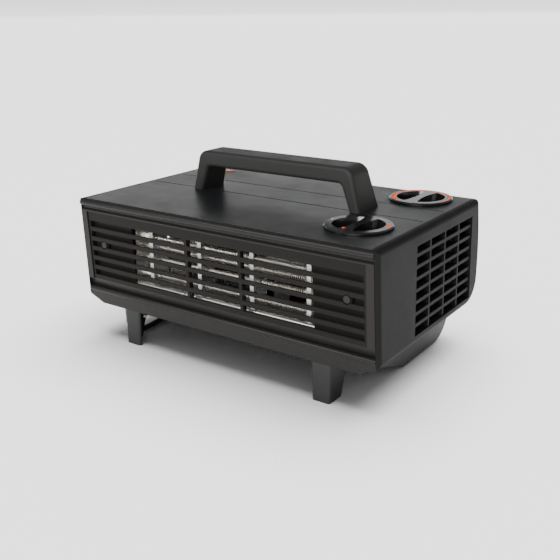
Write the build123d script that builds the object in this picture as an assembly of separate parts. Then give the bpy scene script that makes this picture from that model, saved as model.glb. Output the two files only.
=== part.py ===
from build123d import *
import math
import os

# Portable fan heater: a slatted outlet over wire coils, side inlets, a rounded belly that holds
# the twin blower, two dials on the deck, a carrying handle and a mains cord.
# X runs to the right, Y to the back and Z up. The origin is on the floor, under the middle of
# the heater without its cord. Depths are measured from the front edge of the deck towards the
# back, and the function back() turns them into Y.

# Casing
WIDTH = 360.0
DEPTH = 226.0
DECK_Z = 156.0
SILL_Z = 47.0
WALL = 2.5
RAKE = 6.5
CORNER_RUN = 29.45
CORNER_RADIUS = 28.0
CORNER_TURN = 84.0
REAR_LEAN = 5.0
NOSE = 0.8
COVER_DROP = 18.0
SEAM = 0.2

# Side panels and their inlets
PANEL_DEPTH = 8.0
PANEL_SKIN = 3.5
PANEL_ROUND = 6.0
INLET_FRONT = 75.0
INLET_REAR_MARGIN = 24.0
INLET_LOW = 55.5
INLET_HIGH = 142.0
INLET_ROWS = 8
INLET_COLUMNS = 4
INLET_ROW_BAR = 3.4
INLET_POST = 2.6
INLET_RECESS = 1.2
INLET_LAND = 2.0

# Deck
DECK_FRONT = 3.0
GROOVE_DEPTHS = (108.0, 154.0)
GROOVE_WIDTH = 1.6
GROOVE_CUT = 0.9
GROOVE_MARGIN = 3.0

# Front frame and grille
FRAME_DEPTH = 14.0
FRAME_TOP = 155.2
FRAME_LOW = 40.0
STILE = 7.8
RAIL_WALL = 2.2
WINDOW_HIGH = 142.5
WINDOW_LOW = 66.7
BEAD = 3.6
LOWER_BEAD_Z = 54.0
LOWER_BEAD = 2.7
CORNER_CUT = 17.0
GRILLE_GAP = 0.2
GRILLE_SET_BACK = 1.2
TOP_BAND = 10.0
SLAT_COUNT = 6
SLAT_PITCH = 10.8
SLAT_FACE = 5.0
SLAT_TAIL = 2.4
SLAT_DEPTH = 6.3
SLAT_LOW = 67.0
OUTLET_HALF = 111.0
DIVIDER_X = 33.0
DIVIDER_WIDTH = 3.4
PLATE_THICK = 2.0
STRAP_INSET = 31.5
STRAP_WIDTH = 15.0
STRAP_REAR = 16.5

# Belly and feet
BELLY_HALF = 150.0
BELLY_CLEAR = 1.5
BELLY_FLAT_FRONT = 117.0
BELLY_FLAT_REAR = 39.0
BELLY_BACK = 2.5
BELLY_RISE = 38.5
BELLY_SHOULDER = 15.0
BELLY_ROUND = 3.0
FOOT_INNER = 107.7
FOOT_WIDTH = 21.2
FOOT_FRONT = 10.9
FOOT_TOP_DEPTH = 29.0
FOOT_SOLE_DEPTH = 20.0
FOOT_TAPER = 1.0
FOOT_WALL = 3.0
FOOT_ROUND = 2.5
FOOT_FLANGE = 3.0
PAD_X = 115.0
PAD_LENGTH = 40.0
PAD_WIDTH = 18.0
PAD_DEPTH = 170.0

# Handle
HANDLE_FRONT = 100.5
HANDLE_BASE_DEPTH = 41.0
HANDLE_TOP_DEPTH = 34.0
HANDLE_TOP = 200.0
HANDLE_BASE_HALF = 105.3
HANDLE_TOP_HALF = 95.0
HANDLE_LEG = 12.3
GRIP_UNDER = 183.0
GRIP_INNER_HALF = 83.5
HANDLE_CORNER = 12.0
HANDLE_INNER_CORNER = 6.0
HANDLE_ROUND = 4.0

# Dials
KNOB_INSET = 52.0
SELECTOR_DEPTH = 60.0
THERMOSTAT_BACK = 37.0
KNOB_RADIUS = 32.5
KNOB_TOP = 159.0
KNOB_FLANGE = 2.5
KNOB_CUP = 28.0
KNOB_DISH = 25.0
KNOB_FLOOR = 2.0
KNOB_HEIGHT = 13.0
KNOB_EDGE = 1.2
GRIP_WAIST = 8.0
GRIP_END = 17.0
GRIP_FOOT = 3.0
WELL_GAP = 1.0
WELL_WALL = 1.5
WELL_FLOOR_Z = 142.0
WELL_FLOOR = 2.0
SHAFT_RADIUS = 3.0
HUB_RADIUS = 6.0
SHAFT_PLAY = 0.05
SWITCH_WIDTH = 30.0
SWITCH_HEIGHT = 22.0
THERMOSTAT_HEIGHT = 14.0
BLADE_LENGTH = 26.0

# Indicator
LENS_SIDE_INSET = 47.0
LENS_INSET = 27.0
LENS_LENGTH = 12.0
LENS_WIDTH = 6.0
LENS_HEIGHT = 10.0
LENS_PROUD = 1.0
LENS_PLAY = 0.1
LAMP_RADIUS = 2.5
LAMP_LENGTH = 12.0

# Duct and heating coils
SHEET = 1.0
DUCT_HALF = 112.0
DUCT_FRONT = 14.6
DUCT_REAR = 62.0
DUCT_LOW = 66.0
DUCT_HIGH = 140.0
DUCT_LIP = 2.5
DUCT_EAR_LOW = 78.0
DUCT_EAR_HIGH = 132.0
SUPPORT_X = (-97.5, -32.5, 32.5, 97.5)
SUPPORT_FRONT = 21.0
SUPPORT_REAR = 47.0
SUPPORT_FLANGE = 4.5
PUNCH_SIDES = 8
ROWS = ((30.0, 117.0), (40.0, 103.7), (40.0, 90.3), (30.0, 77.0))
COIL_RADIUS = 3.1
COIL_WIRE = 1.1
COIL_HALF = 99.0
COIL_BEND = 1.3
CURLS = 7
COIL_PLAY = 0.4
BEAD_RADIUS = 3.0
BEAD_LENGTH = 7.0
BEAD_OFFSET = 1.1

# Blower
FAN_INSET = 80.0
FAN_Z = 84.0
WHEEL_RADIUS = 48.0
WHEEL_INNER = 40.0
WHEEL_NEAR = 40.0
WHEEL_FAR = 104.0
WHEEL_PLATE = 1.6
WHEEL_RING = 3.0
VANES = 14
VANE_THICK = 1.1
VANE_TILT = 32.0
WHEEL_HUB = 7.0
WHEEL_HUB_LENGTH = 18.0
ROTOR_SHAFT = 3.0
SHAFT_HALF = 60.0
ROTOR_RADIUS = 13.0
ROTOR_HALF = 12.0
AIR_GAP = 0.4
STACK_HALF = 10.0
STACK_WIDTH = 50.0
STACK_LOW = 46.0
STACK_HIGH = 108.0
STACK_WINDOW = 36.0
STACK_BAR = 8.0
STACK_WINDOW_HIGH = 68.0
COIL_PACK_HALF = 20.0
COIL_PACK_WIDTH = 32.0
COIL_PACK_WALL = 10.0
WINDING_PLAY = 0.2
BRIDGE_X = 22.0
BRIDGE_PLATE = 2.5
BRIDGE_LEG_DEPTH = 20.0
BRIDGE_LEG = 8.0
BRIDGE_HEIGHT = 16.0
BEARING_RADIUS = 5.0
BEARING_LENGTH = 11.0
BEARING_NEAR = 16.0
BEARING_PLAY = 0.04
BEARING_BOSS = 8.0
STUD_RADIUS = 1.8
STUD_PLAY = 0.1
STAND_SHEET = 1.5
STAND_HIGH = 88.0
PLATE_X = 108.0
INLET_PLATE = 1.2
INLET_RADIUS = 42.0
INLET_LIP = 3.0
INLET_LIP_WALL = 1.5
PLATE_FRONT = 64.0
PLATE_REAR = 212.0
GUIDE_RADIUS = 58.0
GUIDE_FOOT = 12.0
RAMP_FOOT = 97.0

# Screws and posts
POST_INSET = 17.0
POST_FRONT = 30.0
POST_REAR_MARGIN = 40.0
POST_RADIUS = 4.5
SCREW_SHANK = 1.7
SCREW_PLAY = 0.1
SCREW_HEAD = 3.4
HEAD_SIDES = 6
SCREW_HEAD_HEIGHT = 2.0
BASE_SCREW = 14.0
HANDLE_SCREW = 12.0
HANDLE_SCREW_INSET = 6.3
HANDLE_SCREW_SPREAD = 11.0
GRILLE_SCREW_Z = 107.0
GRILLE_SCREW_SEAT = 3.5
FOOT_SCREW = 5.5
FOOT_SCREW_DEPTH = 27.0

# Terminal block, cut-out and fuse
BLOCK_LENGTH = 30.0
BLOCK_HEIGHT = 26.0
BLOCK_THICK = 12.0
BLOCK_DEPTH = 44.0
BLOCK_Z = 104.0
BLOCK_WAYS = 3
CUTOUT_X = 62.0
CUTOUT_RADIUS = 8.0
CUTOUT_HEIGHT = 6.0
FUSE_X = -62.0
FUSE_RADIUS = 2.2
FUSE_LENGTH = 14.0
PROTECT_DEPTH = 54.0
TAB_WIDTH = 4.0
TAB_LENGTH = 7.0
TAB_THICK = 0.8

# Cord, grommet and plug
CORD = 6.0
CORD_SIDES = 6
GROMMET_X = -136.0
GROMMET_DEPTH = 24.5
GROMMET_TILT = 0.0
GROMMET_ROOT = 5.0
GROMMET_TIP = 4.2
GROMMET_FLANGE = 6.8
GROMMET_FLANGE_HEIGHT = 2.0
GROMMET_NECK = 6.0
GROMMET_LENGTH = 17.0
GROMMET_PLAY = 0.1
CORD_EXIT_RUN = 7.6
CORD_LAST_RUN = 24.0
# The free stretch after the exit: X, depth behind the front edge, and height of its middle
CORD_ROUTE = (
    (-136.0, 31.5, 3.4),
    (-135.6, 43.0, 3.05),
    (-136.4, 62.0, 3.05),
    (-141.5, 88.0, 3.05),
    (-153.0, 105.0, 3.05),
    (-161.0, 128.0, 3.05),
    (-160.0, 160.0, 3.05),
    (-161.5, 193.0, 3.05),
    (-154.0, 222.0, 3.05),
    (-134.0, 243.0, 3.4),
    (-105.0, 248.0, 4.2),
)
HANK_X = -50.0
HANK_REACH = 290.0
HANK_MEAN = 34.0
HANK_TURNS = 2.5
HANK_STEP = 7.0
HANK_LIFT = 1.5
TAIL_FIRST_RUN = 22.0
TAIL_ROUTE = (
    (-50.0, 42.0, 10.6),
    (-70.0, 38.0, 11.4),
)
PLUG_BODY = 40.0
PLUG_NECK = 20.0
PLUG_NECK_RADIUS = 5.2
PLUG_WIDTH = 38.0
PLUG_THICK = 23.0
PLUG_TAPER = 8.0
PIN_LENGTH = 19.0
PIN_RADIUS = 3.5
EARTH_PIN_RADIUS = 4.3
EARTH_PIN_LENGTH = 26.0
PIN_SPREAD = 25.4
TIE_WIDTH = 9.0
TIE_SHEET = 0.8
TIE_PLAY = 0.55

HALF = WIDTH / 2
DECK_HALF = HALF - PANEL_DEPTH
KNOB_X = HALF - KNOB_INSET
POST_X = HALF - POST_INSET
STRAP_X = HALF - STRAP_INSET
FAN_DEPTH = DEPTH - FAN_INSET
LENS_DEPTH = DEPTH - LENS_INSET
LENS_X = LENS_SIDE_INSET - HALF


def back(depth):
    """Y of a place this far behind the front edge of the deck. The frame's bead stands a nose before it."""
    return depth - (DEPTH - NOSE) / 2


def rake(z):
    """Depth of the leaning front at this height."""
    return RAKE * (DECK_Z - z) / (DECK_Z - SILL_Z)


def belly_z(depth):
    """Height of the belly's front slope at this depth."""
    fall = (FRAME_LOW - BELLY_CLEAR) / (BELLY_FLAT_FRONT - RAKE)
    return FRAME_LOW - fall * (depth - RAKE)


def block(x_low, x_high, depth_low, depth_high, z_low, z_high):
    """A plain block between two corners, with its depths counted from the front."""
    middle = ((x_low + x_high) / 2, back((depth_low + depth_high) / 2), (z_low + z_high) / 2)
    return Pos(*middle) * Box(x_high - x_low, depth_high - depth_low, z_high - z_low)


def rod_x(x_low, x_high, depth, z, radius):
    """A round bar along X."""
    return Pos((x_low + x_high) / 2, back(depth), z) * Rot(0, 90, 0) * Cylinder(radius, x_high - x_low)


def rod_y(depth_low, depth_high, x, z, radius):
    """A round bar along Y."""
    middle = back((depth_low + depth_high) / 2)
    return Pos(x, middle, z) * Rot(90, 0, 0) * Cylinder(radius, depth_high - depth_low)


def rod_z(z_low, z_high, x, depth, radius):
    """A round bar along Z."""
    return Pos(x, back(depth), (z_low + z_high) / 2) * Cylinder(radius, z_high - z_low)


def section(points):
    """A straight-sided YZ section from pairs of depth and height."""
    return make_face(Polyline([(back(depth), z) for depth, z in points], close=True))


def prism_x(face, x_low, x_high):
    """A YZ section run between two X values."""
    return extrude(Plane.YZ.offset(x_low) * face, amount=x_high - x_low, dir=(1, 0, 0))


def prism_y(face, depth_low, depth_high):
    """An XZ section run between two depths."""
    plane = Plane.XZ.offset(-back(depth_low))
    return extrude(plane * face, amount=depth_high - depth_low, dir=(0, 1, 0))


def both_sides(solid):
    """The solid and its mirror image on the other side of the YZ plane."""
    return [solid, mirror(solid, Plane.YZ)]


def casing_outline():
    """Side outline of the casing: raked front, flat deck, bulging back and a rounded low corner."""
    top_front = (back(0), DECK_Z)
    low_front = (back(RAKE), SILL_Z)
    low_rear = (back(DEPTH - CORNER_RUN), SILL_Z)
    turn = math.radians(CORNER_TURN)
    corner_top = (
        low_rear[0] + CORNER_RADIUS * math.sin(turn),
        SILL_Z + CORNER_RADIUS * (1 - math.cos(turn)),
    )
    top_rear = (back(DEPTH - REAR_LEAN), DECK_Z)
    return make_face(
        [
            Line(top_rear, top_front),
            Line(top_front, low_front),
            Line(low_front, low_rear),
            TangentArc(low_rear, corner_top, tangent=(1, 0)),
            TangentArc(corner_top, top_rear, tangent=(math.cos(turn), math.sin(turn))),
        ]
    )


def casing_inside():
    """The casing outline less its wall."""
    return offset(casing_outline(), -WALL, kind=Kind.INTERSECTION)


def side_panel():
    """Right side panel: a rounded shell with a recessed inlet of bars."""
    inner = HALF - PANEL_DEPTH
    panel = prism_x(casing_outline(), inner, HALF)
    panel = fillet(panel.faces().sort_by(Axis.X)[-1].edges(), PANEL_ROUND)
    inlet_rear = DEPTH - INLET_REAR_MARGIN
    pocket = prism_x(casing_inside(), inner, HALF - PANEL_SKIN)
    front_rim = section(
        [
            (-WALL, DECK_Z + WALL),
            (-WALL, 0),
            (rake(0) + WALL + SEAM, 0),
            (rake(DECK_Z) + WALL + SEAM, DECK_Z + WALL),
        ]
    )
    pocket += prism_x(front_rim, inner, HALF - PANEL_SKIN)
    pocket += block(inner, HALF - PANEL_SKIN, -WALL, FRAME_DEPTH, 0, SILL_Z + 2 * WALL)
    pocket -= block(
        inner, HALF, INLET_FRONT - INLET_LAND, inlet_rear + INLET_LAND,
        INLET_LOW - INLET_LAND, INLET_HIGH + INLET_LAND,
    )
    panel -= pocket
    panel -= block(HALF - INLET_RECESS, HALF + WALL, INLET_FRONT, inlet_rear, INLET_LOW, INLET_HIGH)
    row = (INLET_HIGH - INLET_LOW + INLET_ROW_BAR) / INLET_ROWS
    column = (inlet_rear - INLET_FRONT + INLET_POST) / INLET_COLUMNS
    cell = Rectangle(column - INLET_POST, row - INLET_ROW_BAR)
    cells = Sketch() + GridLocations(column, row, INLET_COLUMNS, INLET_ROWS) * cell
    middle = (back((INLET_FRONT + inlet_rear) / 2), (INLET_LOW + INLET_HIGH) / 2)
    return panel - prism_x(Pos(*middle) * cells, inner - WALL, HALF)


def thermostat_depth():
    """Depth of the rear dial's axis."""
    return DEPTH - THERMOSTAT_BACK


def post_places():
    """X and depth of the four screw posts under the deck."""
    return [(side * POST_X, depth) for side in (-1, 1) for depth in (POST_FRONT, DEPTH - POST_REAR_MARGIN)]


def handle_screw_places():
    """X and depth of the four handle screws."""
    middle = HANDLE_FRONT + HANDLE_BASE_DEPTH / 2
    x = HANDLE_BASE_HALF - HANDLE_SCREW_INSET
    steps = (-HANDLE_SCREW_SPREAD, HANDLE_SCREW_SPREAD)
    return [(side * x, middle + step) for side in (-1, 1) for step in steps]


def top_cover():
    """Deck with its rear drop, two grooves, two dial wells, the lens window and four posts."""
    ring = prism_x(casing_outline() - casing_inside(), -DECK_HALF, DECK_HALF)
    cover = ring & block(-DECK_HALF, DECK_HALF, PLATE_FRONT, DEPTH, DECK_Z - COVER_DROP, DECK_Z)
    cover += block(-DECK_HALF, DECK_HALF, DECK_FRONT, PLATE_FRONT, DECK_Z - WALL, DECK_Z)
    for x, depth in post_places():
        cover += rod_z(SILL_Z + WALL, DECK_Z - WALL, x, depth, POST_RADIUS)
        cover -= rod_z(SILL_Z, SILL_Z + WALL + BASE_SCREW, x, depth, SCREW_SHANK + SCREW_PLAY)
    well = KNOB_CUP + WELL_GAP
    for depth in (SELECTOR_DEPTH, thermostat_depth()):
        cover += rod_z(WELL_FLOOR_Z, DECK_Z, KNOB_X, depth, well + WELL_WALL)
        cover -= rod_z(WELL_FLOOR_Z + WELL_FLOOR, DECK_Z + WALL, KNOB_X, depth, well)
        cover -= rod_z(0, DECK_Z, KNOB_X, depth, HUB_RADIUS + WELL_GAP)
    for depth in GROOVE_DEPTHS:
        half = GROOVE_WIDTH / 2
        groove = section(
            [(depth - half, DECK_Z + WALL), (depth - half, DECK_Z), (depth, DECK_Z - GROOVE_CUT),
             (depth + half, DECK_Z), (depth + half, DECK_Z + WALL)]
        )
        cover -= prism_x(groove, GROOVE_MARGIN - DECK_HALF, DECK_HALF - GROOVE_MARGIN)
    half_length = LENS_LENGTH / 2 + LENS_PLAY
    half_width = LENS_WIDTH / 2 + LENS_PLAY
    cover -= block(
        LENS_X - half_length, LENS_X + half_length, LENS_DEPTH - half_width, LENS_DEPTH + half_width,
        DECK_Z - 2 * WALL, DECK_Z + WALL,
    )
    for x, depth in handle_screw_places():
        cover -= rod_z(DECK_Z - 2 * WALL, DECK_Z + WALL, x, depth, SCREW_SHANK + SCREW_PLAY)
    return cover


def top_rail_section(rear):
    """Section of the frame's top rail, with its rounded bead and the groove under it."""
    flange = DECK_Z - WALL - SEAM
    bead_low = FRAME_TOP - 2 * BEAD
    lip = WINDOW_HIGH + 1.6
    front = rake(bead_low)
    outline = [
        Polyline(
            [(back(DECK_FRONT - SEAM), FRAME_TOP), (back(DECK_FRONT - SEAM), flange), (back(rear), flange),
             (back(rear), WINDOW_HIGH), (back(rake(WINDOW_HIGH)), WINDOW_HIGH), (back(rake(lip)), lip),
             (back(front + BEAD * 0.8), lip + 1.8), (back(front + BEAD * 0.8), bead_low)]
        ),
        ThreePointArc(
            (back(front + BEAD * 0.8), bead_low),
            (back(-NOSE), FRAME_TOP - BEAD),
            (back(DECK_FRONT - SEAM), FRAME_TOP),
        ),
    ]
    return make_face(outline)


def bottom_rail_section(rear):
    """Section of the frame's bottom rail: smooth tucked panel, bead and lower band."""
    tuck = LOWER_BEAD_Z + LOWER_BEAD
    under = LOWER_BEAD_Z - LOWER_BEAD
    points = [
        (back(rake(under) + GRILLE_SET_BACK), under),
        (back(rake(FRAME_LOW) + GRILLE_SET_BACK), belly_z(rake(FRAME_LOW) + GRILLE_SET_BACK)),
        (back(rear), belly_z(rear)),
        (back(rear), WINDOW_LOW),
        (back(rake(WINDOW_LOW) + 2 * GRILLE_SET_BACK), WINDOW_LOW),
        (back(rake(tuck) + 2 * LOWER_BEAD), tuck),
    ]
    return make_face(
        [
            Polyline(points),
            ThreePointArc(points[-1], (back(rake(LOWER_BEAD_Z) - SEAM), LOWER_BEAD_Z), points[0]),
        ]
    )


def top_rail_hollow():
    """Hollow behind the top bead, open at the back."""
    high = DECK_Z - WALL - SEAM - RAIL_WALL
    low = WINDOW_HIGH + RAIL_WALL
    front = rake(low) + BEAD * 0.8 + RAIL_WALL
    rear = FRAME_DEPTH + RAIL_WALL
    return section([(rear, high), (front, high), (front, low), (rear, low)])


def bottom_rail_hollow():
    """Hollow behind the bottom rail, open at the back."""
    rear = FRAME_DEPTH + RAIL_WALL
    high = WINDOW_LOW - RAIL_WALL
    tuck = LOWER_BEAD_Z + LOWER_BEAD
    low_front = rake(FRAME_LOW) + GRILLE_SET_BACK + RAIL_WALL
    return section(
        [
            (rear, high),
            (rake(high) + 2 * GRILLE_SET_BACK + RAIL_WALL, high),
            (rake(tuck) + 2 * LOWER_BEAD + RAIL_WALL, tuck + RAIL_WALL / 2),
            (rake(LOWER_BEAD_Z) + RAIL_WALL, LOWER_BEAD_Z),
            (low_front, belly_z(low_front) + RAIL_WALL),
            (rear, belly_z(rear) + RAIL_WALL),
        ]
    )


def rail(rail_section, hollow, half):
    """A hollow rail, closed at its ends."""
    return prism_x(rail_section, -half, half) - prism_x(hollow, STILE - half, half - STILE)


def stile_section(z_low, z_high, front, rear):
    """A piece of the raked front between two heights, from a set-back to a fixed depth."""
    return section(
        [
            (rake(z_high) + front, z_high),
            (rake(z_low) + front, z_low),
            (rear, z_low),
            (rear, z_high),
        ]
    )


def front_frame():
    """Outer frame of the outlet: beaded rails, side borders and the straps for the screws."""
    half = HALF - PANEL_SKIN - SEAM
    frame = rail(top_rail_section(FRAME_DEPTH), top_rail_hollow(), half)
    frame += rail(bottom_rail_section(FRAME_DEPTH), bottom_rail_hollow(), half)
    flange = DECK_Z - WALL - SEAM
    inner = half - STILE
    for stile in both_sides(prism_x(stile_section(WINDOW_LOW, WINDOW_HIGH, 0, FRAME_DEPTH), inner, half)):
        frame += stile
    low = STRAP_X - STRAP_WIDTH / 2
    strap = stile_section(WINDOW_LOW - RAIL_WALL, WINDOW_HIGH + RAIL_WALL, strap_front(), STRAP_REAR)
    strap = prism_x(strap, low, low + STRAP_WIDTH)
    strap -= rod_y(0, STRAP_REAR + WALL, STRAP_X, GRILLE_SCREW_Z, SCREW_SHANK + SCREW_PLAY)
    for side in both_sides(strap):
        frame += side
    corner = make_face(
        Polyline(
            [
                (half - CORNER_CUT, 0),
                (half - CORNER_CUT, FRAME_LOW - SEAM),
                (half + SEAM, SILL_Z),
                (HALF + WALL, SILL_Z),
                (HALF + WALL, 0),
            ],
            close=True,
        )
    )
    for cut in both_sides(prism_y(corner, -WALL, FRAME_DEPTH + WALL)):
        frame -= cut
    notch_near = half - PANEL_DEPTH + PANEL_SKIN
    notch = block(notch_near, half + WALL, DECK_FRONT - SEAM, FRAME_DEPTH + WALL, flange, DECK_Z)
    for cut in both_sides(notch):
        frame -= cut
    return frame


def strap_front():
    """Set-back of the straps: they lie against the back of the grille's closed ends."""
    return GRILLE_SET_BACK + SLAT_DEPTH + PLATE_THICK - SEAM * 3


def slat_section(z_low):
    """Wedge-shaped slat with a flat underside and a face that leans with the front."""
    front = GRILLE_SET_BACK
    return section(
        [
            (rake(z_low) + front, z_low),
            (rake(z_low + SLAT_FACE) + front, z_low + SLAT_FACE - front / 2),
            (rake(z_low + SLAT_FACE) + 1.6 * front, z_low + SLAT_FACE),
            (rake(z_low) + front + SLAT_DEPTH, z_low + SLAT_TAIL),
            (rake(z_low) + front + SLAT_DEPTH, z_low),
        ]
    )


def front_grille():
    """Grille insert: top band, slats over the full width, closed ends and two dividers."""
    half = HALF - PANEL_SKIN - SEAM - STILE - GRILLE_GAP
    high = WINDOW_HIGH - GRILLE_GAP
    low = WINDOW_LOW + GRILLE_GAP
    band_low = high - TOP_BAND
    grille = prism_x(stile_section(band_low, high, GRILLE_SET_BACK, rake(band_low) + SLAT_DEPTH), -half, half)
    for step in range(SLAT_COUNT):
        grille += prism_x(slat_section(SLAT_LOW + step * SLAT_PITCH), -half, half)
    back_set = GRILLE_SET_BACK + SLAT_DEPTH - SEAM * 3
    plate = section(
        [
            (rake(high) + back_set, high),
            (rake(low) + back_set, low),
            (rake(low) + back_set + PLATE_THICK, low),
            (rake(high) + back_set + PLATE_THICK, high),
        ]
    )
    for end in both_sides(prism_x(plate, OUTLET_HALF, half)):
        grille += end
    mid = section(
        [
            (rake(high) + GRILLE_SET_BACK + SEAM, high),
            (rake(low) + GRILLE_SET_BACK + SEAM, low),
            (rake(low) + back_set, low),
            (rake(high) + back_set, high),
        ]
    )
    for divider in both_sides(prism_x(mid, DIVIDER_X - DIVIDER_WIDTH / 2, DIVIDER_X + DIVIDER_WIDTH / 2)):
        grille += divider
    for end in both_sides(prism_x(mid, half - WALL, half)):
        grille += end
    seat = rake(GRILLE_SCREW_Z) + GRILLE_SCREW_SEAT
    boss = rod_y(seat, rake(GRILLE_SCREW_Z) + back_set + 1, STRAP_X, GRILLE_SCREW_Z, SCREW_HEAD + 1.2)
    hole = rod_y(0, FRAME_DEPTH, STRAP_X, GRILLE_SCREW_Z, SCREW_SHANK + SCREW_PLAY)
    hole += rod_y(-WALL, seat, STRAP_X, GRILLE_SCREW_Z, SCREW_HEAD + 1.2)
    for lug, bore in zip(both_sides(boss), both_sides(hole)):
        grille = grille + lug - bore
    return grille


def rear_cover():
    """Back wall under the deck's drop, with the rounded low corners beside the belly."""
    ring = prism_x(casing_outline() - casing_inside(), -DECK_HALF, DECK_HALF)
    low = SILL_Z + BELLY_SHOULDER
    wall = ring & block(-DECK_HALF, DECK_HALF, DEPTH - CORNER_RUN, DEPTH, SILL_Z, DECK_Z - COVER_DROP)
    return wall - block(-BELLY_HALF - SEAM, BELLY_HALF + SEAM, 0, DEPTH + WALL, 0, low)


def belly_outline(lift):
    """Side outline of the belly, with its top raised by lift to leave it open when hollowed."""
    front = FRAME_DEPTH
    flat_rear = DEPTH - BELLY_FLAT_REAR
    rear = DEPTH - BELLY_BACK
    top = SILL_Z + WALL + lift
    slope_start = (back(front), belly_z(front))
    flat_end = (back(flat_rear), BELLY_CLEAR)
    arc_end = (back(rear), BELLY_CLEAR + BELLY_RISE)
    return make_face(
        [
            Polyline(
                [arc_end, (back(rear), SILL_Z + BELLY_SHOULDER + lift), (back(DEPTH - CORNER_RUN), top),
                 (back(front), top), slope_start, (back(BELLY_FLAT_FRONT), BELLY_CLEAR), flat_end]
            ),
            TangentArc(flat_end, arc_end, tangent=(1, 0)),
        ]
    )


def belly_inside():
    """Hollow of the belly, open at the top."""
    return offset(belly_outline(4 * WALL), -WALL, kind=Kind.INTERSECTION)


def grommet_place():
    """Where the grommet's axis meets the outside of the belly's slope, and its direction."""
    tilt = math.radians(GROMMET_TILT)
    point = Vector(GROMMET_X, back(GROMMET_DEPTH), belly_z(GROMMET_DEPTH))
    return point, Vector(0, math.sin(tilt), -math.cos(tilt))


def grommet_plane(along):
    """Plane square to the grommet's axis, this far outside the belly's slope."""
    point, direction = grommet_place()
    return Plane(origin=point + direction * along, x_dir=(1, 0, 0), z_dir=direction)


def base_cover():
    """Underside: flanges beside the belly, and the belly as a hollow shell."""
    belly = prism_x(belly_outline(0), -BELLY_HALF, BELLY_HALF)
    ends = belly.faces().filter_by(Axis.X)
    low_edges = [
        edge for face in ends for edge in face.edges()
        if (edge @ 0.5).Z < SILL_Z - WALL and (edge @ 0.5).Y > back(FRAME_DEPTH) + SEAM
    ]
    belly = fillet(low_edges, BELLY_ROUND)
    belly -= prism_x(belly_inside(), WALL - BELLY_HALF, BELLY_HALF - WALL)
    flange = block(
        BELLY_HALF - WALL, DECK_HALF - SEAM, FRAME_DEPTH, DEPTH - CORNER_RUN, SILL_Z, SILL_Z + WALL
    )
    for side in both_sides(flange):
        belly += side
    for x, depth in post_places():
        belly -= rod_z(0, SILL_Z + 2 * WALL, x, depth, SCREW_SHANK + SCREW_PLAY)
    for x, depth in foot_screw_places():
        belly -= rod_z(0, SILL_Z, x, depth, SCREW_SHANK + SCREW_PLAY)
    hole = Cylinder(GROMMET_ROOT + GROMMET_PLAY, 4 * WALL)
    return belly - grommet_plane(0).location * hole


def foot_screw_places():
    """X and depth of the screw that holds each front foot."""
    x = FOOT_INNER + (FOOT_WIDTH - FOOT_WALL) / 2
    return [(side * x, FOOT_SCREW_DEPTH) for side in (-1, 1)]


def front_foot():
    """Right front foot: an angle of front and outer wall on a flange under the belly's slope."""
    outer = FOOT_INNER + FOOT_WIDTH
    rear_top = FOOT_FRONT + FOOT_TOP_DEPTH
    rear_low = FOOT_FRONT + FOOT_SOLE_DEPTH
    side = section(
        [(FOOT_FRONT, belly_z(FOOT_FRONT)), (FOOT_FRONT, 0), (rear_low, 0), (rear_top, belly_z(rear_top))]
    )
    foot = prism_x(side, FOOT_INNER, outer)
    taper = make_face(
        Polyline(
            [
                (FOOT_INNER, FRAME_LOW),
                (FOOT_INNER + FOOT_TAPER, 0),
                (outer - FOOT_TAPER, 0),
                (outer, FRAME_LOW),
            ],
            close=True,
        )
    )
    foot &= prism_y(taper, 0, rear_top + WALL)
    foot = fillet(foot.edges().filter_by(lambda edge: abs((edge @ 0.5).Y - back(FOOT_FRONT)) < SEAM
                                         and abs((edge @ 0.5).Z) > SEAM
                                         and (edge @ 0.5).Z < FRAME_LOW - FOOT_WALL * 2), FOOT_ROUND)
    pocket = section(
        [
            (FOOT_FRONT + FOOT_WALL, belly_z(FOOT_FRONT + FOOT_WALL) - FOOT_FLANGE),
            (FOOT_FRONT + FOOT_WALL, -WALL),
            (rear_top + WALL, -WALL),
            (rear_top + WALL, belly_z(rear_top + WALL) - FOOT_FLANGE),
        ]
    )
    foot -= prism_x(pocket, FOOT_INNER - WALL, outer - FOOT_WALL - FOOT_TAPER)
    x, depth = foot_screw_places()[1]
    return foot - rod_z(0, FRAME_LOW, x, depth, SCREW_SHANK + SCREW_PLAY)


def rear_foot_pads():
    """Two rubber pads under the belly's flat."""
    pad = block(
        PAD_X - PAD_LENGTH / 2, PAD_X + PAD_LENGTH / 2, PAD_DEPTH - PAD_WIDTH / 2, PAD_DEPTH + PAD_WIDTH / 2,
        0, BELLY_CLEAR,
    )
    pad = fillet(pad.edges().filter_by(Axis.Z), BELLY_ROUND)
    return both_sides(pad)


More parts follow.
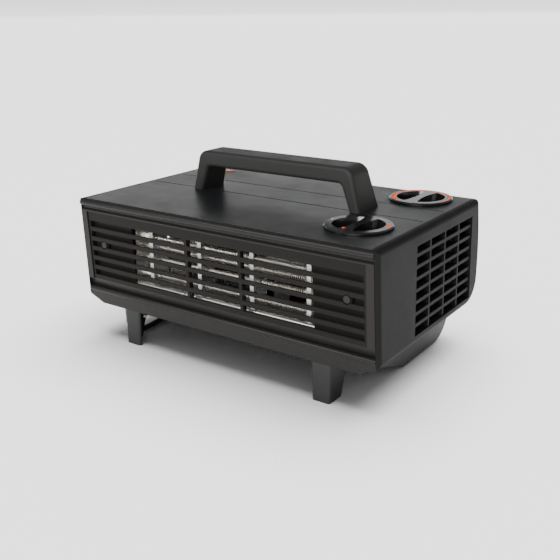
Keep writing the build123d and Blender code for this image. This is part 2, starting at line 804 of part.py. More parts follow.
def handle():
    """Carrying handle: two flared legs and a grip, rounded all over, with screw holes below."""
    base_inner = HANDLE_BASE_HALF - HANDLE_LEG
    face = make_face(
        Polyline(
            [(-HANDLE_BASE_HALF, DECK_Z), (-HANDLE_TOP_HALF, HANDLE_TOP), (HANDLE_TOP_HALF, HANDLE_TOP),
             (HANDLE_BASE_HALF, DECK_Z), (base_inner, DECK_Z), (GRIP_INNER_HALF, GRIP_UNDER),
             (-GRIP_INNER_HALF, GRIP_UNDER), (-base_inner, DECK_Z)],
            close=True,
        )
    )
    face = fillet(face.vertices().filter_by(lambda v: v.Y > HANDLE_TOP - SEAM), HANDLE_CORNER)
    face = fillet(face.vertices().filter_by(lambda v: abs(v.Y - GRIP_UNDER) < SEAM), HANDLE_INNER_CORNER)
    bow = prism_y(face, HANDLE_FRONT, HANDLE_FRONT + HANDLE_BASE_DEPTH)
    lean = section(
        [
            (HANDLE_FRONT + HANDLE_BASE_DEPTH, DECK_Z),
            (HANDLE_FRONT + HANDLE_TOP_DEPTH, HANDLE_TOP),
            (HANDLE_FRONT + HANDLE_TOP_DEPTH, HANDLE_TOP + WALL),
            (HANDLE_FRONT + 2 * HANDLE_BASE_DEPTH, HANDLE_TOP + WALL),
            (HANDLE_FRONT + 2 * HANDLE_BASE_DEPTH, DECK_Z),
        ]
    )
    bow -= prism_x(lean, -HALF, HALF)
    faces = bow.faces()
    front = faces.sort_by(Axis.Y)[0]
    rear = faces.sort_by(Axis.Y)[-1]
    edges = [edge for face in (front, rear) for edge in face.edges() if (edge @ 0.5).Z > DECK_Z + SEAM]
    bow = fillet(edges, HANDLE_ROUND)
    for x, depth in handle_screw_places():
        bow -= rod_z(DECK_Z - WALL, DECK_Z + HANDLE_SCREW, x, depth, SCREW_SHANK + SCREW_PLAY)
    return bow


def knob(depth):
    """Dished dial with a waisted grip bar across it and a hub below for its shaft."""
    cup_low = KNOB_TOP - KNOB_HEIGHT
    disc = rod_z(KNOB_TOP - KNOB_FLANGE, KNOB_TOP, 0, 0, KNOB_RADIUS)
    disc = chamfer(disc.edges().sort_by(Axis.Z)[-1], KNOB_EDGE)
    dial = disc + rod_z(cup_low, KNOB_TOP - KNOB_EDGE, 0, 0, KNOB_CUP)
    floor = cup_low + KNOB_FLOOR
    dish = Pos(0, back(0), floor) * extrude(Circle(KNOB_DISH - GRIP_FOOT), amount=KNOB_TOP - floor, taper=-14)
    waist = GRIP_WAIST / 2
    end = GRIP_END / 2
    reach = KNOB_CUP
    bar = make_face(
        [
            ThreePointArc((-end, -reach), (-waist, 0), (-end, reach)),
            Line((-end, reach), (end, reach)),
            ThreePointArc((end, reach), (waist, 0), (end, -reach)),
            Line((end, -reach), (-end, -reach)),
        ]
    )
    bar = Pos(0, back(0), floor) * extrude(bar, amount=KNOB_TOP - floor)
    dial -= dish - bar
    dial += rod_z(WELL_FLOOR_Z + WELL_FLOOR, cup_low, 0, 0, HUB_RADIUS)
    dial -= rod_z(0, shaft_top(), 0, 0, SHAFT_RADIUS)
    return Pos(KNOB_X, depth, 0) * dial


def shaft_top():
    """Top end of both control shafts, inside the knob's bar."""
    return KNOB_TOP - KNOB_FLANGE - KNOB_FLOOR


def control_shaft(depth, length):
    """Shaft of a dial, from inside its control up into the knob."""
    return rod_z(WELL_FLOOR_Z - length, shaft_top(), KNOB_X, depth, SHAFT_RADIUS)


def tab(x, depth, z_high):
    """A flat push-on tab that points down."""
    half = TAB_WIDTH / 2
    return block(x - half, x + half, depth - TAB_THICK / 2, depth + TAB_THICK / 2, z_high - TAB_LENGTH, z_high)


def selector_switch():
    """Rotary switch body under the front well, with its round neck, bore and four tabs."""
    half = SWITCH_WIDTH / 2
    low = WELL_FLOOR_Z - SWITCH_HEIGHT
    body = block(KNOB_X - half, KNOB_X + half, SELECTOR_DEPTH - half, SELECTOR_DEPTH + half, low, WELL_FLOOR_Z)
    body = chamfer(body.edges().filter_by(Axis.Z), WALL)
    body += rod_z(WELL_FLOOR_Z, WELL_FLOOR_Z + WELL_FLOOR - SEAM, KNOB_X, SELECTOR_DEPTH, HUB_RADIUS)
    for across in (-1, 1):
        for along in (-1, 1):
            body += tab(KNOB_X + across * half / 2, SELECTOR_DEPTH + along * half / 2, low + SEAM)
    return body - rod_z(low + WALL, DECK_Z, KNOB_X, SELECTOR_DEPTH, SHAFT_RADIUS + SHAFT_PLAY)


def thermostat():
    """Bimetal thermostat under the rear well: ceramic stack, bent frame, contact arm."""
    depth = thermostat_depth()
    half = SWITCH_WIDTH / 2
    low = WELL_FLOOR_Z - THERMOSTAT_HEIGHT
    body = block(
        KNOB_X - half, KNOB_X + half, depth - HUB_RADIUS, depth + HUB_RADIUS, WELL_FLOOR_Z - WALL, WELL_FLOOR_Z
    )
    body += rod_z(WELL_FLOOR_Z - WALL, WELL_FLOOR_Z + WELL_FLOOR - SEAM, KNOB_X, depth, HUB_RADIUS)
    stack_x = KNOB_X - half + HUB_RADIUS / 2
    body += rod_z(low, WELL_FLOOR_Z - WALL, stack_x, depth, HUB_RADIUS / 2)
    arm = block(
        stack_x, stack_x + BLADE_LENGTH, depth - SHAFT_RADIUS, depth + SHAFT_RADIUS, low, low + TAB_THICK
    )
    body += arm
    return body - rod_z(low + WALL, DECK_Z, KNOB_X, depth, SHAFT_RADIUS + SHAFT_PLAY)


def indicator_lens():
    """Clear lens of the neon indicator, a little proud of the deck."""
    half_length = LENS_LENGTH / 2
    half_width = LENS_WIDTH / 2
    top = DECK_Z + LENS_PROUD
    lens = block(
        LENS_X - half_length, LENS_X + half_length, LENS_DEPTH - half_width, LENS_DEPTH + half_width,
        top - LENS_HEIGHT, top,
    )
    return chamfer(lens.faces().sort_by(Axis.Z)[-1].edges(), LENS_PROUD / 2)


def indicator_lamp():
    """Neon lamp under the lens."""
    top = DECK_Z + LENS_PROUD - LENS_HEIGHT
    return rod_z(top - LAMP_LENGTH, top, LENS_X, LENS_DEPTH, LAMP_RADIUS)


def duct_frame():
    """Bright sheet box around the coils, open to the front and back, with ears and a front lip."""
    box = block(-DUCT_HALF, DUCT_HALF, DUCT_FRONT, DUCT_REAR, DUCT_LOW, DUCT_HIGH)
    box -= block(
        SHEET - DUCT_HALF, DUCT_HALF - SHEET, 0, DEPTH, DUCT_LOW + SHEET, DUCT_HIGH - SHEET
    )
    box += block(
        -DUCT_HALF, DUCT_HALF, DUCT_FRONT, DUCT_FRONT + SHEET, DUCT_LOW, DUCT_LOW + SHEET + DUCT_LIP
    )
    ear = block(
        DUCT_HALF - SHEET,
        STRAP_X + STRAP_WIDTH / 2,
        STRAP_REAR,
        STRAP_REAR + SHEET,
        DUCT_EAR_LOW,
        DUCT_EAR_HIGH,
    )
    ear -= rod_y(0, FRAME_DEPTH + 2 * WALL, STRAP_X, GRILLE_SCREW_Z, SCREW_SHANK + SCREW_PLAY)
    for side in both_sides(ear):
        box += side
    return box


def element_supports():
    """Four upright supports with a bright front flange and a hole for each row of coil."""
    supports = []
    low = DUCT_LOW + SHEET
    high = DUCT_HIGH - SHEET
    for x in SUPPORT_X:
        support = block(x - SHEET / 2, x + SHEET / 2, SUPPORT_FRONT, SUPPORT_REAR, low, high)
        edge = x - SHEET / 2
        support += block(edge, edge + SUPPORT_FLANGE, SUPPORT_FRONT, SUPPORT_FRONT + SHEET, low, high)
        for depth, z in ROWS:
            punch = RegularPolygon(COIL_RADIUS + COIL_WIRE / 2 + COIL_PLAY, PUNCH_SIDES, major_radius=False)
            support -= prism_x(Pos(back(depth), z) * punch, x - WALL, x + WALL)
        supports.append(support)
    return supports


def ceramic_terminals():
    """Ceramic beads on the duct's walls that take the ends of each coil."""
    inside = DUCT_HALF - SHEET
    beads = []
    for depth, z in ROWS:
        for side in (-1, 1):
            low, high = sorted((side * inside, side * (inside - BEAD_LENGTH)))
            beads.append(rod_x(low, high, depth + COIL_RADIUS - BEAD_OFFSET, z, BEAD_RADIUS))
    return beads


def biarc(start, start_way, end, end_way):
    """Two arcs that leave start along start_way, meet smoothly, and reach end along end_way."""
    gap = end - start
    ways = start_way + end_way
    bend = 2 * (1 - start_way.dot(end_way))
    run = (-gap.dot(ways) + math.sqrt(gap.dot(ways) ** 2 + bend * gap.dot(gap))) / bend
    middle = (start + start_way * run + end - end_way * run) / 2
    middle_way = (end - end_way * run - start - start_way * run).normalized()
    return [Edge.make_tangent_arc(start, start_way, middle), Edge.make_tangent_arc(middle, middle_way, end)]


def heating_coil(depth, z):
    """One row of resistance wire: straight ends, a bend at each, and the curls between."""
    pitch = 2 * COIL_HALF / CURLS
    rise = pitch / (2 * math.pi)
    centre = Vector(0, back(depth), z)

    def place(angle):
        along = angle * rise - COIL_HALF
        return centre + Vector(along, COIL_RADIUS * math.cos(angle), COIL_RADIUS * math.sin(angle))

    def way(angle):
        return Vector(rise, -COIL_RADIUS * math.sin(angle), COIL_RADIUS * math.cos(angle)).normalized()

    first = way(0)
    turn = math.acos(first.X)
    bend_run = COIL_BEND * math.sin(turn)
    bend_drop = COIL_BEND * (1 - math.cos(turn))
    lead_end = place(0) - Vector(bend_run, 0, bend_drop)
    lead_start = Vector(BEAD_LENGTH + SHEET - DUCT_HALF, lead_end.Y, lead_end.Z)
    edges = [Edge.make_line(lead_start, lead_end), Edge.make_tangent_arc(lead_end, Vector(1, 0, 0), place(0))]
    for half_turn in range(2 * CURLS):
        low, high = half_turn * math.pi, (half_turn + 1) * math.pi
        edges += biarc(place(low), way(low), place(high), way(high))
    last = place(2 * math.pi * CURLS)
    tail_start = last + Vector(bend_run, 0, bend_drop)
    tail_end = Vector(-lead_start.X, tail_start.Y, tail_start.Z)
    edges.append(Edge.make_tangent_arc(last, first, tail_start))
    edges.append(Edge.make_line(tail_start, tail_end))
    path = Wire(edges)
    wire = Plane(origin=lead_start, z_dir=(1, 0, 0)) * Rectangle(COIL_WIRE, COIL_WIRE)
    return sweep(wire, path=path, clean=False), path


def least_gap(path, thickness, apart):
    """Least space between two stretches of a wound path that lie further apart than apart along it."""
    count = int(path.length / (thickness / 2))
    points = [path @ (step / count) for step in range(count + 1)]
    skip = int(apart / (thickness / 2))
    least = min(
        (points[i] - points[j]).length for i in range(0, count, 3) for j in range(i + skip, count + 1)
    )
    return least - thickness


def wheel(side):
    """Blower wheel: hub plate, vanes and end ring, open at its outer end."""
    plate = rod_x(WHEEL_NEAR, WHEEL_NEAR + WHEEL_PLATE, 0, 0, WHEEL_RADIUS)
    ring = rod_x(WHEEL_FAR - WHEEL_RING, WHEEL_FAR, 0, 0, WHEEL_RADIUS)
    ring -= rod_x(0, WHEEL_FAR + WALL, 0, 0, WHEEL_INNER + VANE_THICK)
    body = plate + ring + rod_x(WHEEL_NEAR, WHEEL_NEAR + WHEEL_HUB_LENGTH, 0, 0, WHEEL_HUB)
    chord = WHEEL_RADIUS - WHEEL_INNER - VANE_THICK
    length = WHEEL_FAR - WHEEL_NEAR - WHEEL_PLATE
    middle_x = WHEEL_FAR - WHEEL_RING / 2 - length / 2
    place = Pos(middle_x, 0, (WHEEL_RADIUS + WHEEL_INNER) / 2) * Rot(VANE_TILT, 0, 0)
    vane = place * Box(length, VANE_THICK, chord)
    hub_centre = Pos(0, back(0), 0)
    for step in range(VANES):
        body += hub_centre * Rot(step * 360 / VANES, 0, 0) * vane
    body -= rod_x(0, WHEEL_FAR, 0, 0, ROTOR_SHAFT)
    body = Pos(0, FAN_DEPTH, FAN_Z) * body
    return body if side > 0 else mirror(body, Plane.YZ)


def rotor_shaft():
    """Steel shaft through the rotor and both wheel hubs."""
    return rod_x(-SHAFT_HALF, SHAFT_HALF, FAN_DEPTH, FAN_Z, ROTOR_SHAFT)


def rotor_core():
    """Squirrel-cage rotor."""
    core = rod_x(-ROTOR_HALF, ROTOR_HALF, FAN_DEPTH, FAN_Z, ROTOR_RADIUS)
    return core - rod_x(-SHAFT_HALF, SHAFT_HALF, FAN_DEPTH, FAN_Z, ROTOR_SHAFT)


def stud_places():
    """Depths of the two studs that hold the bearing bridges to the stack."""
    return [FAN_DEPTH - BRIDGE_LEG_DEPTH, FAN_DEPTH + BRIDGE_LEG_DEPTH]


def motor_stator():
    """Laminated stack with the rotor bore, the winding window and the stud holes."""
    half = STACK_WIDTH / 2
    stack = block(-STACK_HALF, STACK_HALF, FAN_DEPTH - half, FAN_DEPTH + half, STACK_LOW, STACK_HIGH)
    stack -= rod_x(-HALF, HALF, FAN_DEPTH, FAN_Z, ROTOR_RADIUS + AIR_GAP)
    window = STACK_WINDOW / 2
    stack -= block(
        -HALF, HALF, FAN_DEPTH - window, FAN_DEPTH + window, STACK_LOW + STACK_BAR, STACK_WINDOW_HIGH
    )
    for depth in stud_places():
        stack -= rod_x(-HALF, HALF, depth, FAN_Z, STUD_RADIUS + STUD_PLAY)
    return stack


def motor_winding():
    """Winding on the stack's lower bar."""
    half = COIL_PACK_WIDTH / 2
    bar_low = STACK_LOW - WINDING_PLAY
    bar_high = STACK_LOW + STACK_BAR + WINDING_PLAY
    pack = block(
        -COIL_PACK_HALF, COIL_PACK_HALF, FAN_DEPTH - half, FAN_DEPTH + half,
        bar_low - COIL_PACK_WALL, bar_high + COIL_PACK_WALL,
    )
    pack = fillet(pack.edges().filter_by(Axis.Y), WALL)
    return pack - block(
        -STACK_HALF - WINDING_PLAY, STACK_HALF + WINDING_PLAY, 0, DEPTH, bar_low, bar_high
    )


def bearing_bridge():
    """Right bearing bridge: a plate on two legs, with a boss for the bearing."""
    half_height = BRIDGE_HEIGHT / 2
    reach = BRIDGE_LEG_DEPTH + BRIDGE_LEG / 2
    bridge = block(
        BRIDGE_X, BRIDGE_X + BRIDGE_PLATE, FAN_DEPTH - reach, FAN_DEPTH + reach,
        FAN_Z - half_height, FAN_Z + half_height,
    )
    for depth in stud_places():
        half = BRIDGE_LEG / 2
        bridge += block(
            STACK_HALF, BRIDGE_X, depth - half, depth + half, FAN_Z - half_height, FAN_Z + half_height
        )
        bridge -= rod_x(0, HALF, depth, FAN_Z, STUD_RADIUS + STUD_PLAY)
    bridge += rod_x(BEARING_NEAR, BEARING_NEAR + BEARING_LENGTH, FAN_DEPTH, FAN_Z, BEARING_BOSS)
    return bridge - rod_x(0, HALF, FAN_DEPTH, FAN_Z, BEARING_RADIUS)


def bearing():
    """Right sintered bearing."""
    bush = rod_x(BEARING_NEAR, BEARING_NEAR + BEARING_LENGTH, FAN_DEPTH, FAN_Z, BEARING_RADIUS)
    return bush - rod_x(0, HALF, FAN_DEPTH, FAN_Z, ROTOR_SHAFT + BEARING_PLAY)


def motor_studs():
    """Two studs with a head at one end and a nut at the other."""
    end = BRIDGE_X + BRIDGE_PLATE
    studs = []
    for depth in stud_places():
        stud = rod_x(-end, end, depth, FAN_Z, STUD_RADIUS)
        stud += rod_x(-end - SCREW_HEAD_HEIGHT, -end, depth, FAN_Z, SCREW_HEAD)
        stud += rod_x(end, end + SCREW_HEAD_HEIGHT, depth, FAN_Z, SCREW_HEAD)
        studs.append(stud)
    return studs


def motor_stand():
    """Sheet cradle that carries the stack from the belly's floor."""
    half = STACK_WIDTH / 2
    floor = BELLY_CLEAR + WALL
    front = FAN_DEPTH - half - STAND_SHEET
    rear = FAN_DEPTH + half + STAND_SHEET
    stand = block(-STACK_HALF, STACK_HALF, front, rear, floor, STAND_HIGH)
    return stand - block(
        -HALF, HALF, front + STAND_SHEET, rear - STAND_SHEET, floor + STAND_SHEET, STAND_HIGH + WALL
    )


def inlet_ring():
    """Right end plate of the scroll, with the inlet and its lip, standing on the belly's floor."""
    interior = casing_inside() + belly_inside()
    window = Pos(back((PLATE_FRONT + PLATE_REAR) / 2), DUCT_HIGH / 2) * Rectangle(
        PLATE_REAR - PLATE_FRONT, DUCT_HIGH
    )
    plate = prism_x(interior & window, PLATE_X, PLATE_X + INLET_PLATE)
    lip = rod_x(
        PLATE_X, PLATE_X + INLET_PLATE + INLET_LIP, FAN_DEPTH, FAN_Z, INLET_RADIUS + INLET_LIP_WALL
    )
    plate += lip
    return plate - rod_x(0, HALF, FAN_DEPTH, FAN_Z, INLET_RADIUS)


def air_guide():
    """Bent sheet over the wheels: flat from the duct, round behind them and down to the belly."""
    top = DUCT_HIGH
    rear = FAN_DEPTH + GUIDE_RADIUS + SHEET
    centre_z = top - SHEET - GUIDE_RADIUS
    outer = make_face(
        [
            Polyline(
                [(back(rear), centre_z), (back(rear), GUIDE_FOOT), (back(DUCT_REAR), GUIDE_FOOT),
                 (back(DUCT_REAR), top), (back(FAN_DEPTH), top)]
            ),
            TangentArc((back(FAN_DEPTH), top), (back(rear), centre_z), tangent=(1, 0)),
        ]
    )
    inner = make_face(
        [
            Polyline(
                [(back(rear - SHEET), centre_z), (back(rear - SHEET), 0), (0 - DEPTH, 0),
                 (0 - DEPTH, top - SHEET), (back(FAN_DEPTH), top - SHEET)]
            ),
            TangentArc((back(FAN_DEPTH), top - SHEET), (back(rear - SHEET), centre_z), tangent=(1, 0)),
        ]
    )
    return prism_x(outer - inner, -PLATE_X, PLATE_X)


def air_ramp():
    """Sloping sheet that leads the air from the belly up to the duct."""
    foot_z = belly_z(RAMP_FOOT) + WALL + SHEET
    return prism_x(
        section(
            [
                (DUCT_REAR, DUCT_LOW),
                (RAMP_FOOT, foot_z),
                (RAMP_FOOT + SHEET, foot_z),
                (DUCT_REAR + SHEET, DUCT_LOW + SHEET),
                (DUCT_REAR, DUCT_LOW + SHEET),
            ]
        ),
        -PLATE_X,
        PLATE_X,
    )


def terminal_block():
    """Three-way terminal block on the duct's left wall."""
    half = BLOCK_LENGTH / 2
    high = BLOCK_Z + BLOCK_HEIGHT / 2
    low = BLOCK_Z - BLOCK_HEIGHT / 2
    body = block(-DUCT_HALF - BLOCK_THICK, -DUCT_HALF, BLOCK_DEPTH - half, BLOCK_DEPTH + half, low, high)
    way = BLOCK_LENGTH / BLOCK_WAYS
    for step in range(BLOCK_WAYS):
        depth = BLOCK_DEPTH - half + way * (step + 0.5)
        body -= rod_z(low - WALL, high + WALL, -DUCT_HALF - BLOCK_THICK / 2, depth, SCREW_HEAD)
    return body


def thermal_cutout():
    """Ceramic disc cut-out under the duct's top, with its two tabs."""
    high = DUCT_HIGH - SHEET
    body = rod_z(high - CUTOUT_HEIGHT, high, CUTOUT_X, PROTECT_DEPTH, CUTOUT_RADIUS)
    for across in (-1, 1):
        body += tab(CUTOUT_X + across * CUTOUT_RADIUS / 2, PROTECT_DEPTH, high - CUTOUT_HEIGHT + SEAM)
    return body


def thermal_fuse():
    """Thermal fuse in its clip under the duct's top."""
    high = DUCT_HIGH - SHEET
    half = FUSE_LENGTH / 2
    fuse = rod_x(FUSE_X - half, FUSE_X + half, PROTECT_DEPTH, high - FUSE_RADIUS - SHEET, FUSE_RADIUS)
    return fuse + block(
        FUSE_X - TAB_WIDTH / 2,
        FUSE_X + TAB_WIDTH / 2,
        PROTECT_DEPTH - FUSE_RADIUS,
        PROTECT_DEPTH + FUSE_RADIUS,
        high - FUSE_RADIUS - SHEET,
        high,
    )


def screw_up(x, depth, z_seat, length):
    """Screw that points up, its six-sided head seated at z_seat."""
    head = extrude(RegularPolygon(SCREW_HEAD, HEAD_SIDES), amount=SCREW_HEAD_HEIGHT)
    return Pos(x, back(depth), z_seat - SCREW_HEAD_HEIGHT) * head + rod_z(
        z_seat - SEAM, z_seat + length, x, depth, SCREW_SHANK
    )


def base_screws():
    """Four screws from below into the deck's posts."""
    return [screw_up(x, depth, SILL_Z, WALL + BASE_SCREW - SEAM) for x, depth in post_places()]


def handle_screws():
    """Four screws from under the deck into the handle's legs."""
    return [screw_up(x, depth, DECK_Z - WALL, HANDLE_SCREW) for x, depth in handle_screw_places()]


def foot_screws():
    """One screw up through each front foot's flange into the belly."""
    screws = []
    for x, depth in foot_screw_places():
        seat = belly_z(depth + SCREW_HEAD) - FOOT_FLANGE
        screws.append(screw_up(x, depth, seat, FOOT_FLANGE + FOOT_SCREW))
    return screws


def grille_screws():
    """One screw at each end of the grille, through the strap and the duct's ear."""
    seat = rake(GRILLE_SCREW_Z) + GRILLE_SCREW_SEAT
    screw = rod_y(seat - SCREW_HEAD_HEIGHT, seat, STRAP_X, GRILLE_SCREW_Z, SCREW_HEAD)
    screw += rod_y(seat - SEAM, STRAP_REAR + SHEET + WALL, STRAP_X, GRILLE_SCREW_Z, SCREW_SHANK)
    return both_sides(screw)


def cord_grommet():
    """Tapered strain relief through the belly's slope, with its inner flange."""
    taper = math.degrees(math.atan((GROMMET_ROOT - GROMMET_TIP) / GROMMET_LENGTH))
    tail = extrude(grommet_plane(0) * Circle(GROMMET_ROOT), amount=GROMMET_LENGTH, taper=taper)
    neck = extrude(grommet_plane(0) * Circle(GROMMET_ROOT), amount=-GROMMET_NECK)
    flange = extrude(grommet_plane(-GROMMET_NECK) * Circle(GROMMET_FLANGE), amount=-GROMMET_FLANGE_HEIGHT)
    return tail + neck + flange


def cord_section(plane):
    """Eight-sided section of the cord on a plane."""
    radius = CORD / 2 / math.cos(math.pi / CORD_SIDES)
    return plane * Rot(0, 0, 180 / CORD_SIDES) * RegularPolygon(radius, CORD_SIDES)


def cord_tube(points):
    """Tube along straight runs joined by arcs as large as the runs allow."""
    radii = []
    for before, here, after in zip(points, points[1:], points[2:]):
        come, leave = here - before, after - here
        half_turn = math.radians(come.get_angle(leave)) / 2
        radii.append(0.45 * min(come.length, leave.length) / math.tan(half_turn))
    path = FilletPolyline(points, radius=radii)
    plane = Plane(origin=points[0], z_dir=(points[1] - points[0]).normalized())
    tube = sweep(cord_section(plane), path=path)
    print("cord radii", [round(radius, 1) for radius in radii])
    area = cord_section(plane).area
    ratio = tube.volume / (area * path.length)
    print("cord length", round(path.length, 1), "volume over section times length", round(ratio, 4))
    return tube


def grommet_end():
    """Point where the cord leaves the grommet."""
    point, direction = grommet_place()
    return point + direction * GROMMET_LENGTH


def cord_points():
    """Free stretch from the grommet to the coil."""
    direction = grommet_place()[1]
    start = grommet_end()
    points = [start, start + direction * CORD_EXIT_RUN]
    points += [Vector(x, back(depth), z) for x, depth, z in CORD_ROUTE]
    end, way = hank_place(0)
    return points + [end - way * CORD_LAST_RUN, end]


def hank_place(turns):
    """Point and direction of the coil after this many turns, from its outer end."""
    inner = HANK_MEAN - HANK_TURNS * HANK_STEP / 2
    outer = HANK_MEAN + HANK_TURNS * HANK_STEP / 2
    low = CORD / 2 + HANK_LIFT
    high = low + HANK_STEP
    if turns <= HANK_TURNS:
        radius, slope = outer - HANK_STEP * turns, -HANK_STEP
        z, climb = low, 0.0
    elif turns <= HANK_TURNS + 0.5:
        share = (turns - HANK_TURNS) * 2
        radius = inner - HANK_STEP * (0.5 - abs(share - 0.5)) / 2
        slope = HANK_STEP * ((share > 0.5) - (share < 0.5))
        z = low + (high - low) * (1 - math.cos(math.pi * share)) / 2
        climb = (high - low) * math.pi * math.sin(math.pi * share)
    else:
        radius, slope = inner + HANK_STEP * (turns - HANK_TURNS - 0.5), HANK_STEP
        z, climb = high, 0.0
    angle = 2 * math.pi * turns - math.pi / 2
    point = Vector(HANK_X + radius * math.cos(angle), back(HANK_REACH) + radius * math.sin(angle), z)
    across = Vector(math.cos(angle), math.sin(angle), 0)
    along = Vector(-math.sin(angle), math.cos(angle), 0)
    way = across * slope + along * (2 * math.pi * radius) + Vector(0, 0, climb)
    return point, way.normalized()


def cord_coil():
    """Put-away coil: the cord winds in on the floor, climbs, and winds out on top."""
    edges = []
    quarters = int(4 * (2 * HANK_TURNS + 0.5))
    for quarter in range(quarters):
        start, start_way = hank_place(quarter / 4)
        end, end_way = hank_place((quarter + 1) / 4)
        edges += biarc(start, start_way, end, end_way)
    path = Wire(edges)
    start, way = hank_place(0)
    return sweep(cord_section(Plane(origin=start, z_dir=way)), path=path, clean=False), path


def hank_end():
    """Point and direction where the cord leaves the coil."""
    return hank_place(2 * HANK_TURNS + 0.5)


def tail_points():
    """Short stretch from the coil's outer end to the plug's neck."""
    start, way = hank_end()
    points = [start, start + way * TAIL_FIRST_RUN]
    for x, depth, z in TAIL_ROUTE:
        points.append(Vector(HANK_X + x, back(HANK_REACH + depth), z))
    return points


def plug_place():
    """Plane at the plug's neck: it faces the way the cord arrives."""
    points = tail_points()
    way = (points[-1] - points[-2]).normalized()
    return Plane(origin=points[-1], x_dir=(0, 0, 1), z_dir=way)


def plug_body():
    """Moulded plug: a round neck and a body that widens to the pin face."""
    plane = plug_place()
    neck = extrude(plane * Circle(PLUG_NECK_RADIUS), amount=PLUG_NECK + WALL)
    face = plane.offset(PLUG_NECK + PLUG_BODY)
    grip = extrude(face * Rectangle(PLUG_THICK, PLUG_WIDTH), amount=-PLUG_BODY, taper=PLUG_TAPER)
    long_edges = grip.edges().filter_by(lambda edge: PLUG_BODY - WALL < edge.length < PLUG_BODY + WALL)
    grip = chamfer(long_edges, WALL)
    return neck + grip


def plug_pins():
    """Two round mains pins and a larger earth pin."""
    face = plug_place().offset(PLUG_NECK + PLUG_BODY)
    pins = []
    for side in (-1, 1):
        pins.append(extrude(face * Pos(-4, side * PIN_SPREAD / 2.4) * Circle(PIN_RADIUS), amount=PIN_LENGTH))
    pins.append(extrude(face * Pos(5, 0) * Circle(EARTH_PIN_RADIUS), amount=EARTH_PIN_LENGTH))
    return pins


def cord_tie():
    """Strap around the coil's turns."""
    inner = HANK_MEAN - HANK_TURNS * HANK_STEP / 2 - CORD / 2 - TIE_PLAY
    outer = HANK_MEAN + HANK_TURNS * HANK_STEP / 2 + CORD / 2 + TIE_PLAY
    low = HANK_LIFT - TIE_PLAY
    high = HANK_LIFT + CORD + HANK_STEP + TIE_PLAY
    middle = Pos(HANK_X + (inner + outer) / 2, back(HANK_REACH), (low + high) / 2)
    ring = Box(outer - inner + 2 * TIE_SHEET, TIE_WIDTH, high - low + 2 * TIE_SHEET)
    ring -= Box(outer - inner, TIE_WIDTH, high - low)
    return middle * ring


def as_compound(shape):
    """One compound from a shape or a list of shapes."""
    shapes = shape if isinstance(shape, list) else [shape]
    solids = [solid for item in shapes for solid in item.solids()]
    return Compound(children=solids)


def nodes():
    """Every node by name."""
    right_panel = side_panel()
    right_foot = front_foot()
    right_ring = inlet_ring()
    right_bridge = bearing_bridge()
    right_bearing = bearing()
    coils = [heating_coil(depth, z) for depth, z in ROWS]
    print("heating coil gap", round(least_gap(coils[0][1], COIL_WIRE * math.sqrt(2), 9.0), 2))
    coil, coil_path = cord_coil()
    print("cord coil length", round(coil_path.length, 1))
    print("cord coil gap", round(least_gap(coil_path, CORD, 60.0), 2))
    return {
        "top_cover": top_cover(),
        "right_side_panel": right_panel,
        "left_side_panel": mirror(right_panel, Plane.YZ),
        "front_frame": front_frame(),
        "front_grille": front_grille(),
        "rear_cover": rear_cover(),
        "base_cover": base_cover(),
        "right_front_foot": right_foot,
        "left_front_foot": mirror(right_foot, Plane.YZ),
        "rear_foot_pads": rear_foot_pads(),
        "handle": handle(),
        "selector_knob": knob(SELECTOR_DEPTH),
        "selector_shaft": control_shaft(SELECTOR_DEPTH, SWITCH_HEIGHT - 2 * WALL),
        "selector_switch": selector_switch(),
        "thermostat_knob": knob(thermostat_depth()),
        "thermostat_spindle": control_shaft(thermostat_depth(), THERMOSTAT_HEIGHT - 2 * WALL),
        "thermostat": thermostat(),
        "indicator_lens": indicator_lens(),
        "indicator_lamp": indicator_lamp(),
        "duct_frame": duct_frame(),
        "element_supports": element_supports(),
        "ceramic_terminals": ceramic_terminals(),
        "upper_heating_coils": [coils[0][0], coils[1][0]],
        "lower_heating_coils": [coils[2][0], coils[3][0]],
        "thermal_cutout": thermal_cutout(),
        "thermal_fuse": thermal_fuse(),
        "terminal_block": terminal_block(),
        "air_guide": air_guide(),
        "air_ramp": air_ramp(),
        "right_inlet_ring": right_ring,
        "left_inlet_ring": mirror(right_ring, Plane.YZ),
        "right_blower_wheel": wheel(1),
        "left_blower_wheel": wheel(-1),
        "rotor_shaft": rotor_shaft(),
        "rotor_core": rotor_core(),
        "motor_stator": motor_stator(),
        "motor_winding": motor_winding(),
        "right_bearing_bridge": right_bridge,
        "left_bearing_bridge": mirror(right_bridge, Plane.YZ),
        "right_bearing": right_bearing,
        "left_bearing": mirror(right_bearing, Plane.YZ),
        "motor_studs": motor_studs(),
        "motor_stand": motor_stand(),
        "base_screws": base_screws(),
        "handle_screws": handle_screws(),
        "foot_screws": foot_screws(),
        "grille_screws": grille_screws(),
        "cord_grommet": cord_grommet(),
        "power_cord": cord_tube(cord_points()),
        "power_cord_coil": coil,
        "power_cord_tail": cord_tube(tail_points()),
        "cord_tie": cord_tie(),
        "plug_body": plug_body(),
        "plug_pins": plug_pins(),
    }


os.makedirs("parts", exist_ok=True)
for name, shape in nodes().items():
    export_step(as_compound(shape), f"parts/{name}.step")
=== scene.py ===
"""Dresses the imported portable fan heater.

It adds the finishes, the wound coils, the outlet's lip, the dial marks, the mains lead, the studio
and the camera.
"""

import logging
import math
from dataclasses import dataclass, field
from enum import Enum
from typing import Any, Sequence

import bmesh
import bpy
from mathutils import Matrix, Vector


